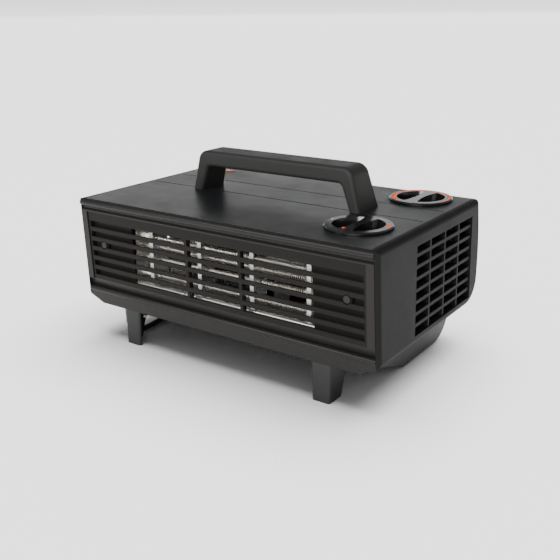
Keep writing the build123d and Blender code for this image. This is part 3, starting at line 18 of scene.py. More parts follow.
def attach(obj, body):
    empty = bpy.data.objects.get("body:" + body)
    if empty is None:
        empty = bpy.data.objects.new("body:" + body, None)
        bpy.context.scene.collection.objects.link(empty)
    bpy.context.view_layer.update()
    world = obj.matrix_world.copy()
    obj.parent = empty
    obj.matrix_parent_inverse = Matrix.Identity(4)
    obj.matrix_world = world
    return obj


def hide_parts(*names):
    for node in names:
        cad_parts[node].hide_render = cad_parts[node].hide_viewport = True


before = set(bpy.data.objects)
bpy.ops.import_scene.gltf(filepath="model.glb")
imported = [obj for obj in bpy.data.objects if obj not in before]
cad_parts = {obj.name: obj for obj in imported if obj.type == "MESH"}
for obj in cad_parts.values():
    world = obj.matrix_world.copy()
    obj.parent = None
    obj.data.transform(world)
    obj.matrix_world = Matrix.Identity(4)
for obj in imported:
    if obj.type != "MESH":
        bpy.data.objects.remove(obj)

MM = 0.001
CASING_DEPTH = 226.0
BEAD_NOSE = 0.8
# Numbers of the Mix node's colour sockets, which share their names with its other sockets
MIX_A, MIX_B, MIX_RESULT = 6, 7, 2
LOG = logging.getLogger("heater")

Point = tuple[float, float, float]


def back(depth: float) -> float:
    """Y in millimetres of a place this far behind the front edge of the deck."""
    return depth - (CASING_DEPTH - BEAD_NOSE) / 2


def metres(x: float, depth: float, z: float) -> Vector:
    """Point in metres from X, depth behind the front edge, and height in millimetres."""
    return Vector((x * MM, back(depth) * MM, z * MM))


def linear(hex_colour: str) -> tuple[float, float, float, float]:
    """Turns an sRGB hex colour into the linear colour that a shader socket takes.

    Args:
        hex_colour: Six hex digits.

    Returns:
        Linear red, green, blue and an alpha of one.
    """
    values = [int(hex_colour[i : i + 2], 16) / 255 for i in (0, 2, 4)]
    red, green, blue = (
        value / 12.92 if value <= 0.04045 else ((value + 0.055) / 1.055) ** 2.4 for value in values
    )
    return (red, green, blue, 1.0)


def add_node(
    tree: bpy.types.NodeTree,
    kind: str,
    settings: dict[str, Any] | None = None,
    links: dict[str | int, bpy.types.NodeSocket] | None = None,
    values: dict[str | int, Any] | None = None,
) -> bpy.types.Node:
    """Adds a node with its settings, socket values and incoming links.

    Args:
        tree: The node tree that takes the node.
        kind: The node's type name.
        settings: Attributes of the node itself.
        links: Output sockets to join, by the name or number of the input that takes each.
        values: Default values, by the name or number of the input.

    Returns:
        The new node.
    """
    node = tree.nodes.new(kind)
    for name, value in (settings or {}).items():
        setattr(node, name, value)
    for key, value in (values or {}).items():
        node.inputs[key].default_value = value
    for key, socket in (links or {}).items():
        tree.links.new(socket, node.inputs[key])
    return node


class Pattern(Enum):
    """How its making drew out a surface's grain, as the grain's scale along X, Y and Z."""

    EVEN = (1.0, 1.0, 1.0)
    ROLLED = (1.0, 1.0, 14.0)
    DRAWN = (0.04, 1.0, 1.0)


@dataclass(frozen=True)
class Finish:
    """One real material and the pattern that its making leaves.

    Attributes:
        name: Common name of the material.
        colour: Main sRGB hex colour.
        shade: Second sRGB hex colour, which the variation reaches.
        roughness: Middle roughness.
        spread: How far the roughness varies either way.
        metallic: One for bare metal, else zero.
        ior: Index of refraction of a material that isn't bare metal.
        pattern: How the surface was made.
        grain_mm: Size of the grain, as coarse as it needs to show.
        relief: Depth of the grain, in millimetres.
        specular: Strength of the gloss of a material that isn't bare metal.
        emission: Strength of the light given off, a painted glow on a surface that is no lamp.
        transmission: Share of light let through.
    """

    name: str
    colour: str
    shade: str
    roughness: float
    spread: float = 0.05
    metallic: float = 0.0
    ior: float = 1.5
    pattern: Pattern = Pattern.EVEN
    grain_mm: float = 0.6
    relief: float = 0.02
    specular: float = 0.5
    emission: float = 0.0
    transmission: float = 0.0

    def build(self) -> bpy.types.Material:
        """Makes the material.

        Returns:
            The node-based material.
        """
        material = bpy.data.materials.new(self.name)
        material.use_nodes = True
        tree = material.node_tree
        tree.nodes.clear()
        place = add_node(tree, "ShaderNodeTexCoord").outputs["Object"]
        mapped = add_node(
            tree,
            "ShaderNodeMapping",
            links={"Vector": place},
            values={"Scale": self.pattern.value},
        )
        grain = add_node(
            tree,
            "ShaderNodeTexNoise",
            links={"Vector": mapped.outputs["Vector"]},
            values={"Scale": 1.0 / (self.grain_mm * MM), "Detail": 3.0, "Roughness": 0.55},
        )
        # Patches some 45 mm across, in which tint and gloss drift a little
        patches = add_node(
            tree,
            "ShaderNodeTexNoise",
            links={"Vector": place},
            values={"Scale": 22.0, "Detail": 4.0, "Roughness": 0.6},
        )
        tint = add_node(
            tree,
            "ShaderNodeMix",
            settings={"data_type": "RGBA"},
            links={"Factor": patches.outputs["Fac"]},
            values={MIX_A: linear(self.colour), MIX_B: linear(self.shade)},
        )
        rough = add_node(
            tree,
            "ShaderNodeMapRange",
            links={"Value": patches.outputs["Fac"]},
            values={
                "From Min": 0.3,
                "From Max": 0.7,
                "To Min": self.roughness - self.spread,
                "To Max": self.roughness + self.spread,
            },
        )
        bump = add_node(
            tree,
            "ShaderNodeBump",
            links={"Height": grain.outputs["Fac"]},
            values={"Strength": 1.0, "Distance": self.relief * MM},
        )
        shader = add_node(
            tree,
            "ShaderNodeBsdfPrincipled",
            links={
                "Base Color": tint.outputs[MIX_RESULT],
                "Roughness": rough.outputs["Result"],
                "Normal": bump.outputs["Normal"],
            },
            values={"Metallic": self.metallic},
        )
        if not self.metallic:
            shader.inputs["IOR"].default_value = self.ior
            shader.inputs["Specular IOR Level"].default_value = self.specular
        if self.transmission:
            shader.inputs["Transmission Weight"].default_value = self.transmission
        # The emission paints a glow onto a surface that is no lamp
        if self.emission:
            shader.inputs["Emission Color"].default_value = linear(self.colour)
            shader.inputs["Emission Strength"].default_value = self.emission
        add_node(tree, "ShaderNodeOutputMaterial", links={"Surface": shader.outputs["BSDF"]})
        return material


# Moulded ABS with a fine spark texture: a soft sheen with a cool grey cast
CASING_ABS = Finish(
    "Moulded_ABS", "151617", "1A1B1D", roughness=0.36,
    ior=1.54, grain_mm=0.7, relief=0.012, specular=0.14,
)
# The same plastic in the frame, a little smoother and warmer, so its beads catch a sharper line
FRAME_ABS = Finish(
    "Moulded_ABS_frame", "191817", "1E1D1B", roughness=0.3, spread=0.04,
    ior=1.54, grain_mm=0.7, relief=0.01, specular=0.14,
)
# The handle's ABS: paler and more matt, so its faces read as broad soft greys
HANDLE_ABS = Finish(
    "Moulded_ABS_handle", "222221", "272726", roughness=0.5, ior=1.54, relief=0.012, specular=0.14
)
# Polypropylene side panels: matt and nearly without gloss
PANEL_PP = Finish(
    "Moulded_polypropylene", "151515", "191919", roughness=0.5,
    ior=1.49, grain_mm=0.8, specular=0.06,
)
# Polypropylene belly and feet: dark, with a dull sheen along their rounded faces
BELLY_PP = Finish(
    "Moulded_polypropylene_belly", "161617", "1B1B1C", roughness=0.46,
    ior=1.49, grain_mm=0.9, specular=0.34,
)
# Heat-resistant grille: a silky face that hardly shines
GRILLE_PBT = Finish(
    "Moulded_PBT", "171615", "1B1A18", roughness=0.34, ior=1.55, relief=0.01, specular=0.05
)
# Dials in polished ABS: deep black gloss with clear reflections
DIAL_ABS = Finish(
    "Polished_ABS", "0D0D0E", "111112", roughness=0.16, spread=0.03, ior=1.54, relief=0.001
)
# Pad-printed inks: flat and even; the orange also has a weak emission, a painted glow against the
# black, as in the photo
ORANGE_INK_PAINTED_GLOW = Finish(
    "Orange_ink_painted_glow", "F4600A", "EC5806", roughness=0.6, spread=0.04,
    relief=0.001, specular=0.05, emission=0.3,
)
WHITE_INK = Finish("White_ink", "D8D8D4", "CACAC6", roughness=0.42, spread=0.04, relief=0.001)
# Amber polycarbonate: a clear, glossy lens that lets some light in
LENS_PC = Finish(
    "Amber_polycarbonate", "E8500A", "F06414", roughness=0.12, spread=0.02,
    ior=1.585, relief=0.001, transmission=0.35,
)
# Lamp glass: clear and smooth, with a warm cast
LAMP_GLASS = Finish(
    "Lamp_glass", "F2D9C4", "F0CFB4", roughness=0.06, spread=0.01, relief=0.001, transmission=0.8
)
# Aluminised sheet: bright, with faint rolling lines
BRIGHT_SHEET = Finish(
    "Aluminised_steel", "DEDDDA", "C6C5C1", roughness=0.3, spread=0.08, metallic=1.0,
    pattern=Pattern.ROLLED, grain_mm=1.2, relief=0.004,
)
# Galvanised sheet: a shade duller, with coarser lines
SUPPORT_SHEET = Finish(
    "Galvanised_steel", "DADAD8", "BCBCBA", roughness=0.34, spread=0.1, metallic=1.0,
    pattern=Pattern.ROLLED, grain_mm=1.6, relief=0.006,
)
# Resistance wire: drawn, new and still bright
RESISTANCE_WIRE = Finish(
    "Nickel_chrome_wire", "D2CDC6", "A8A29A", roughness=0.32, spread=0.08, metallic=1.0,
    pattern=Pattern.DRAWN, grain_mm=0.8, relief=0.003,
)
# Glazed steatite: creamy, with a soft shine
CERAMIC = Finish(
    "Steatite_ceramic", "D9D2C2", "CFC7B5", roughness=0.3, spread=0.08,
    ior=1.6, grain_mm=0.9, relief=0.01,
)
# Phenolic resin: brown-black and dull
PHENOLIC = Finish(
    "Phenolic_resin", "2C2A28", "35322F", roughness=0.45, spread=0.06,
    ior=1.6, grain_mm=0.7, relief=0.01,
)
# Sintered bronze: matt brown with a fine open grain
BRONZE = Finish(
    "Sintered_bronze", "9A7443", "85622F", roughness=0.5, spread=0.08, metallic=1.0,
    grain_mm=0.5, relief=0.01,
)
# Enamelled copper winding: reddish, with fine lines along the wire
COPPER = Finish(
    "Enamelled_copper", "A2542A", "8A4420", roughness=0.28, spread=0.06, metallic=1.0,
    pattern=Pattern.DRAWN, grain_mm=0.8, relief=0.004,
)
# Stacked silicon steel: grey, with the edges of its sheets as lines
LAMINATION = Finish(
    "Silicon_steel", "6B6C6E", "55575A", roughness=0.45, spread=0.1, metallic=1.0,
    pattern=Pattern.ROLLED,
)
# Ground steel: pale and smooth, with lines along the shaft
SHAFT_STEEL = Finish(
    "Ground_steel", "A9AAAD", "97989B", roughness=0.22, spread=0.05, metallic=1.0,
    pattern=Pattern.DRAWN, grain_mm=0.5, relief=0.001,
)
# Zinc-plated screws: cool grey and satin
ZINC_STEEL = Finish(
    "Zinc_plated_steel", "9FA1A3", "8A8C8F", roughness=0.34, spread=0.07, metallic=1.0,
    grain_mm=0.8, relief=0.002,
)
# Blackened screws: dark, with a faint sheen on their heads
BLACK_STEEL = Finish(
    "Blackened_steel", "121212", "1A1918", roughness=0.5, spread=0.06,
    ior=1.6, relief=0.003, specular=0.2,
)
# Plug pins in bright brass: yellow, with drawing lines
BRASS = Finish(
    "Bright_brass", "C9A45A", "B8924A", roughness=0.24, spread=0.05, metallic=1.0,
    pattern=Pattern.DRAWN, grain_mm=0.7, relief=0.002,
)
# Vinyl sheath: soft black with a faint bloom
VINYL = Finish(
    "PVC_sheath", "1B1B1C", "222223", roughness=0.42, spread=0.06,
    ior=1.53, grain_mm=1.2, relief=0.01,
)
# Moulded rubber: black and quite matt
RUBBER = Finish(
    "Moulded_rubber", "1A1A1A", "222222", roughness=0.62, spread=0.08, ior=1.52, grain_mm=0.9
)
# Backdrop paper: nearly white, with no shine or relief
PAPER = Finish(
    "Backdrop_paper", "FAFAFA", "FAFAFA", roughness=0.9, spread=0.02, grain_mm=2.0, relief=0.0
)


class Palette:
    """Builds each finish once and hands it out."""

    def __init__(self) -> None:
        """Starts with no material made."""
        self._made: dict[str, bpy.types.Material] = {}

    def get(self, finish: Finish) -> bpy.types.Material:
        """Makes a finish's material on first use, and hands out the same one after that.

        Args:
            finish: The finish.

        Returns:
            Its material.
        """
        if finish.name not in self._made:
            self._made[finish.name] = finish.build()
        return self._made[finish.name]


PALETTE = Palette()

# Finishes, each with the CAD nodes that take it
FinishTable = tuple[tuple[Finish, tuple[str, ...]], ...]


def dress(finishes: FinishTable) -> None:
    """Gives CAD nodes their finishes.

    Args:
        finishes: Each finish, with the nodes whose slots all take it.
    """
    for finish, nodes in finishes:
        for node in nodes:
            for material_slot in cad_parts[node].material_slots:
                material_slot.material = PALETTE.get(finish)
            LOG.info("dressed %s in %s", node, finish.name)


def add_mesh(mesh: bpy.types.Mesh, finish: Finish, body: str) -> bpy.types.Object:
    """Links a finished mesh into the scene under its own name and lets it ride on a body.

    Args:
        mesh: The mesh, with its place in its points.
        finish: Its finish.
        body: The body it rides on.

    Returns:
        The new object.
    """
    mesh.materials.append(PALETTE.get(finish))
    piece = bpy.data.objects.new(mesh.name, mesh)
    bpy.context.scene.collection.objects.link(piece)
    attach(piece, body)
    LOG.info("made %s with %d faces", mesh.name, len(mesh.polygons))
    return piece


def mesh_from(
    name: str,
    points: Sequence[Vector],
    faces: Sequence[Sequence[int]],
    smooth: bool = False,
) -> bpy.types.Mesh:
    """Makes a mesh with outward faces.

    Args:
        name: Name of the mesh.
        points: Its points, in metres.
        faces: Its faces, as point numbers.
        smooth: Whether its faces are shaded smooth.

    Returns:
        The mesh.
    """
    mesh = bpy.data.meshes.new(name)
    mesh.from_pydata([tuple(point) for point in points], [], faces)
    worked = bmesh.new()
    worked.from_mesh(mesh)
    bmesh.ops.remove_doubles(worked, verts=worked.verts, dist=1e-7)
    bmesh.ops.recalc_face_normals(worked, faces=worked.faces)
    for face in worked.faces:
        face.smooth = smooth
    worked.to_mesh(mesh)
    worked.free()
    return mesh


def tube_mesh(name: str, path: Sequence[Vector], radius: float, sides: int) -> bpy.types.Mesh:
    """Makes a closed round tube along a path.

    Args:
        name: Name of the mesh.
        path: Points of the middle line, in metres.
        radius: Radius of the tube, in metres.
        sides: Sides of the section.

    Returns:
        The closed tube.
    """
    points: list[Vector] = []
    faces: list[list[int]] = []
    normal = None
    for i, here in enumerate(path):
        before, after = path[max(i - 1, 0)], path[min(i + 1, len(path) - 1)]
        way = (after - before).normalized()
        # Any first normal does, and each later one turns from the last as little as it can
        turned = way.orthogonal() if normal is None else normal - way * normal.dot(way)
        normal = turned.normalized()
        side = way.cross(normal)
        for k in range(sides):
            angle = 2 * math.pi * k / sides
            points.append(here + (normal * math.cos(angle) + side * math.sin(angle)) * radius)
    for low in range(0, (len(path) - 1) * sides, sides):
        high = low + sides
        for k in range(sides):
            beside = (k + 1) % sides
            faces.append([low + k, low + beside, high + beside, high + k])
    faces.append(list(range(sides))[::-1])
    faces.append([(len(path) - 1) * sides + k for k in range(sides)])
    return mesh_from(name, points, faces, smooth=True)


@dataclass(frozen=True)
class SoftBox:
    """One soft box.

    Attributes:
        name: Its name.
        place: Where it hangs, in metres.
        aim: Where it points, in metres.
        size: Width and height, in metres.
        power: Power in watts.
    """

    name: str
    place: Point
    aim: Point
    size: tuple[float, float]
    power: float

    def hang(self, receivers: bpy.types.Collection) -> None:
        """Hangs the box and says what it lights.

        Args:
            receivers: What it lights, or what it leaves out where that is marked so.
        """
        data = bpy.data.lights.new(self.name, "AREA")
        data.shape = "RECTANGLE"
        data.size, data.size_y = self.size
        data.energy = self.power
        lamp = bpy.data.objects.new(self.name, data)
        lamp.location = self.place
        way = Vector(self.aim) - Vector(self.place)
        lamp.rotation_euler = way.to_track_quat("-Z", "Y").to_euler()
        lamp.light_linking.receiver_collection = receivers
        bpy.context.scene.collection.objects.link(lamp)


@dataclass
class Studio:
    """Floor, lights and the camera that matches the photograph.

    Attributes:
        image_side: Side of the photograph, in pixels.
        sensor: Width of the camera's sensor, in millimetres.
        focal_px: Focal length in pixels of the photograph.
        azimuth: Camera's turn to the right of straight ahead, in degrees.
        elevation: Camera's height angle, in degrees.
        roll: Camera's roll, in degrees.
        distance: From the target to the camera, in millimetres.
        target: X, depth and height that the camera looks at, in millimetres.
        shift: Vertical shift of the lens, as a share of the frame.
        clip: Nearest and farthest distance that the camera sees, in metres.
        floor_half: Half the width of the floor, in metres.
        floor_ends: Where its flat part begins and ends, in metres.
        sweep: Radius of the curve between floor and backdrop, in metres.
        sweep_steps: Steps of this curve.
        backdrop_top: Height of the backdrop, in metres.
        paper_power: Strength of the light on the paper.
        paper_spread: Angle that this light fills, in degrees.
        paper_tilt: Its turn about X and about Y from straight down, in degrees.
        surround: Strength of the even light all round.
        soft_boxes: The soft boxes, which leave the paper alone.
        duct_box: The soft box that lights only the bright metal.
        bright_metal: The pieces inside the outlet, which have that box to themselves.
    """

    image_side: float = 560.0
    sensor: float = 36.0
    focal_px: float = 819.34
    azimuth: float = 35.126
    elevation: float = 13.103
    roll: float = -0.524
    distance: float = 809.67
    target: Point = (30.18, 75.0, 169.38)
    shift: float = -0.15
    clip: tuple[float, float] = (0.01, 50.0)
    floor_half: float = 30.0
    floor_ends: tuple[float, float] = (-6.0, 36.0)
    sweep: float = 6.0
    sweep_steps: int = 10
    backdrop_top: float = 20.0
    paper_power: float = 6.9
    paper_spread: float = 66.0
    paper_tilt: tuple[float, float] = (-10.0, 3.0)
    surround: float = 0.4
    soft_boxes: tuple[SoftBox, ...] = (
        SoftBox("left_box", (-0.9, -1.5, 1.0), (0.0, 0.0, 0.15), (0.8, 0.6), 16.0),
        SoftBox("front_box", (0.5, -1.9, 0.9), (0.0, 0.0, 0.12), (1.4, 0.9), 60.0),
        SoftBox("right_box", (1.7, 0.5, 0.6), (0.1, 0.0, 0.1), (0.8, 0.8), 1.0),
    )
    duct_box: SoftBox = SoftBox("duct_light", (0.25, -1.2, 0.5), (0.0, 0.0, 0.1), (0.5, 0.4), 30.0)
    bright_metal: bpy.types.Collection = field(
        default_factory=lambda: bpy.data.collections.new("bright_metal")
    )

    def camera(self) -> None:
        """Makes the camera and makes it the scene's own."""
        turn, rise, roll = (math.radians(v) for v in (self.azimuth, self.elevation, self.roll))
        backward = Vector(
            (math.sin(turn) * math.cos(rise), -math.cos(turn) * math.cos(rise), math.sin(rise))
        )
        right = Vector((math.cos(turn), math.sin(turn), 0.0))
        up = backward.cross(right)
        rolled_right = right * math.cos(roll) + up * math.sin(roll)
        rolled_up = up * math.cos(roll) - right * math.sin(roll)
        data = bpy.data.cameras.new("Camera")
        data.lens = self.focal_px * self.sensor / self.image_side
        data.sensor_width = self.sensor
        data.shift_y = self.shift
        data.clip_start, data.clip_end = self.clip
        camera = bpy.data.objects.new("Camera", data)
        place = metres(*self.target) + backward * (self.distance * MM)
        axes = Matrix((rolled_right, rolled_up, backward)).transposed().to_4x4()
        camera.matrix_world = Matrix.Translation(place) @ axes
        bpy.context.scene.collection.objects.link(camera)
        bpy.context.scene.camera = camera

    def floor(self) -> bpy.types.Object:
        """Makes a pale floor that sweeps up into a backdrop.

        Returns:
            The floor and backdrop.
        """
        near, bend = self.floor_ends
        rows = [(near, 0.0), (bend, 0.0)]
        for step in range(1, self.sweep_steps + 1):
            angle = math.pi / 2 * step / self.sweep_steps
            rows.append(
                (bend + self.sweep * math.sin(angle), self.sweep - self.sweep * math.cos(angle))
            )
        rows.append((bend + self.sweep, self.backdrop_top))
        points = [(x, y, z) for y, z in rows for x in (-self.floor_half, self.floor_half)]
        faces = [[2 * i, 2 * i + 1, 2 * i + 3, 2 * i + 2] for i in range(len(rows) - 1)]
        mesh = bpy.data.meshes.new("studio_floor")
        mesh.from_pydata(points, [], faces)
        mesh.shade_smooth()
        mesh.materials.append(PALETTE.get(PAPER))
        floor = bpy.data.objects.new("studio_floor", mesh)
        bpy.context.scene.collection.objects.link(floor)
        floor.rotation_euler = (0.0, 0.0, math.radians(self.azimuth))
        return floor

    def paper_light(self, floor: bpy.types.Object) -> None:
        """Adds an even light on the paper alone, which gives the soft shadow under the heater.

        Args:
            floor: The floor and backdrop.
        """
        data = bpy.data.lights.new("paper_light", "SUN")
        data.energy = self.paper_power
        data.angle = math.radians(self.paper_spread)
        lamp = bpy.data.objects.new("paper_light", data)
        lamp.rotation_euler = (*(math.radians(turn) for turn in self.paper_tilt), 0.0)
        bpy.context.scene.collection.objects.link(lamp)
        paper_only = bpy.data.collections.new("paper_only")
        paper_only.objects.link(floor)
        lamp.light_linking.receiver_collection = paper_only

    def lights(self, floor: bpy.types.Object) -> None:
        """Hangs the soft boxes and sets the even light around them.

        Args:
            floor: The floor and backdrop.
        """
        # Excluding the paper here makes these boxes reach everything else
        off_paper = bpy.data.collections.new("off_paper")
        off_paper.objects.link(floor)
        off_paper.collection_objects[0].light_linking.link_state = "EXCLUDE"
        for box in self.soft_boxes:
            box.hang(off_paper)
        self.duct_box.hang(self.bright_metal)
        world = bpy.data.worlds.new("Studio")
        world.use_nodes = True
        background = world.node_tree.nodes["Background"]
        background.inputs["Color"].default_value = linear("FFFFFF")
        background.inputs["Strength"].default_value = self.surround
        bpy.context.scene.world = world

    def build(self) -> None:
        """Sets up the whole studio."""
        self.camera()
        floor = self.floor()
        self.paper_light(floor)
        self.lights(floor)


@dataclass
class MainsLead:
    """The mains lead: one smooth cord from the grommet to the plug, with a coil behind the heater.

    Lengths are in millimetres.

    Attributes:
        cord: Diameter of the sheath.
        grommet_x: X of the grommet.
        grommet_depth: Depth of the grommet behind the front edge.
        grommet_length: Length of the tapered relief below the belly.
        slope_front: Depth and height at which the belly's slope begins.
        slope_low: Depth and height at which it ends.
        exit_run: Straight run below the relief.
        route: The free stretch, as X, depth and height.
        last_run: Straight run into the coil.
        hank_x: X of the coil's middle.
        hank_reach: Depth of the coil's middle.
        hank_mean: Radius at the middle of its turns.
        hank_turns: Turns in each layer.
        hank_climb: Turns in which the cord climbs to the upper layer.
        hank_step: Space from turn to turn and layer to layer.
        hank_lift: Height of the lowest turn's underside.
        hank_points: Control points in each turn.
        tail_first_run: Straight run out of the coil.
        tail_route: Last stretch to the plug, from the coil's middle.
        spline_steps: Steps from one control point to the next.
        round_steps: Extra steps in each quarter of the sheath's section.
        finishes: Each finish with the nodes that take it.
    """

    cord: float = 6.0
    grommet_x: float = -136.0
    grommet_depth: float = 24.5
    grommet_length: float = 17.0
    slope_front: tuple[float, float] = (6.5, 40.0)
    slope_low: tuple[float, float] = (117.0, 1.5)
    exit_run: float = 7.6
    route: tuple[Point, ...] = (
        (-136.0, 31.5, 3.4),
        (-135.6, 43.0, 3.05),
        (-136.4, 62.0, 3.05),
        (-141.5, 88.0, 3.05),
        (-153.0, 105.0, 3.05),
        (-161.0, 128.0, 3.05),
        (-160.0, 160.0, 3.05),
        (-161.5, 193.0, 3.05),
        (-154.0, 222.0, 3.05),
        (-134.0, 243.0, 3.4),
        (-105.0, 248.0, 4.2),
    )
    last_run: float = 24.0
    hank_x: float = -50.0
    hank_reach: float = 290.0
    hank_mean: float = 34.0
    hank_turns: float = 2.5
    hank_climb: float = 0.5
    hank_step: float = 7.0
    hank_lift: float = 1.5
    hank_points: int = 16
    tail_first_run: float = 22.0
    tail_route: tuple[Point, ...] = ((-50.0, 42.0, 10.6), (-70.0, 38.0, 11.4))
    spline_steps: int = 8
    round_steps: int = 5
    finishes: FinishTable = (
        (RUBBER, ("plug_body", "cord_grommet")),
        (BRASS, ("plug_pins",)),
        (CASING_ABS, ("cord_tie",)),
    )

    def exit_point(self) -> Point:
        """Where the cord leaves the relief, as X, depth and height."""
        return (self.grommet_x, self.grommet_depth, self.belly_z() - self.grommet_length)

    def belly_z(self) -> float:
        """Height of the belly's slope at the grommet."""
        (front, top), (rear, low) = self.slope_front, self.slope_low
        return top - (top - low) / (rear - front) * (self.grommet_depth - front)

    def hank_place(self, turns: float) -> tuple[Point, Vector]:
        """Point and direction of the coil after this many turns, from its outer end.

        Args:
            turns: Turns wound so far.

        Returns:
            The point as X, depth and height, and the direction along the cord.
        """
        half_width = self.hank_turns * self.hank_step / 2
        inner, outer = self.hank_mean - half_width, self.hank_mean + half_width
        low = self.cord / 2 + self.hank_lift
        climbed = turns - self.hank_turns
        if climbed <= 0:
            radius, slope, z = outer - self.hank_step * turns, -self.hank_step, low
        elif climbed <= self.hank_climb:
            share = climbed / self.hank_climb
            radius = inner - self.hank_step * (0.5 - abs(share - 0.5)) / 2
            slope = self.hank_step * ((share > 0.5) - (share < 0.5))
            z = low + self.hank_step * (1 - math.cos(math.pi * share)) / 2
        else:
            radius = inner + self.hank_step * (climbed - self.hank_climb)
            slope, z = self.hank_step, low + self.hank_step
        angle = 2 * math.pi * turns - math.pi / 2
        across = Vector((math.cos(angle), math.sin(angle), 0.0))
        along = Vector((-math.sin(angle), math.cos(angle), 0.0))
        point = (
            self.hank_x + radius * math.cos(angle),
            self.hank_reach + radius * math.sin(angle),
            z,
        )
        return point, (across * slope + along * (2 * math.pi * radius)).normalized()

    def control_points(self) -> list[Vector]:
        """Lists every control point of the cord's spline.

        Returns:
            The points, in metres.
        """
        x, depth, z = self.exit_point()
        points: list[Sequence[float]] = [(x, depth, z), (x, depth, z - self.exit_run), *self.route]
        entry, way = self.hank_place(0.0)
        points.append([entry[i] - way[i] * self.last_run for i in range(3)])
        total = 2 * self.hank_turns + self.hank_climb
        steps = int(total * self.hank_points)
        # The spline cuts inside its control points, so they stand a little outside the turns
        spread = 1.0 / math.cos(math.pi / self.hank_points) ** 2
        for step in range(steps + 1):
            (x, depth, z), _ = self.hank_place(total * step / steps)
            x = self.hank_x + (x - self.hank_x) * spread
            depth = self.hank_reach + (depth - self.hank_reach) * spread
            points.append((x, depth, z))
        leave, way = self.hank_place(total)
        points.append([leave[i] + way[i] * self.tail_first_run for i in range(3)])
        points += [(self.hank_x + x, self.hank_reach + depth, z) for x, depth, z in self.tail_route]
        return [metres(*point) for point in points]

    def build(self) -> None:
        curve = bpy.data.curves.new("mains_cord", "CURVE")
        curve.dimensions = "3D"
        spline = curve.splines.new("NURBS")
        points = self.control_points()
        spline.points.add(len(points) - 1)
        for point, place in zip(spline.points, points):
            point.co = (*place, 1.0)
        spline.order_u = 3
        spline.use_endpoint_u = True
        spline.resolution_u = self.spline_steps
        curve.bevel_depth = self.cord / 2 * MM
        curve.bevel_resolution = self.round_steps
        curve.use_fill_caps = True
        curve.materials.append(PALETTE.get(VINYL))
        cord = bpy.data.objects.new("mains_cord", curve)
        bpy.context.scene.collection.objects.link(cord)
        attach(cord, "casing")
        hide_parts("power_cord", "power_cord_coil", "power_cord_tail")
        dress(self.finishes)
        LOG.info("made the mains lead with %d control points", len(points))


@dataclass
class Casing:
    """Outer shell: every moulded piece and its screws.

    Attributes:
        finishes: Each finish with the nodes that take it.
    """

    finishes: FinishTable = (
        (CASING_ABS, ("top_cover", "rear_cover")),
        (FRAME_ABS, ("front_frame",)),
        (PANEL_PP, ("left_side_panel", "right_side_panel")),
        (GRILLE_PBT, ("front_grille",)),
        (BELLY_PP, ("base_cover", "left_front_foot", "right_front_foot")),
        (RUBBER, ("rear_foot_pads",)),
        (HANDLE_ABS, ("handle",)),
        (BLACK_STEEL, ("grille_screws",)),
        (ZINC_STEEL, ("base_screws", "handle_screws", "foot_screws")),
    )

    def build(self) -> None:
        """Dresses each node."""
        dress(self.finishes)


@dataclass(frozen=True)
class Mark:
    """One printed mark on a dial.

    Attributes:
        name: Name of the mark.
        radius: Radius of its middle line, in millimetres.
        start: Where it starts, in degrees anticlockwise from +X.
        end: Where it ends.
        width_start: Width at its start, in millimetres.
        width_end: Width at its end.
        ink: Its ink.
    """

    name: str
    radius: float
    start: float
    end: float
    width_start: float
    width_end: float
    ink: Finish = ORANGE_INK_PAINTED_GLOW


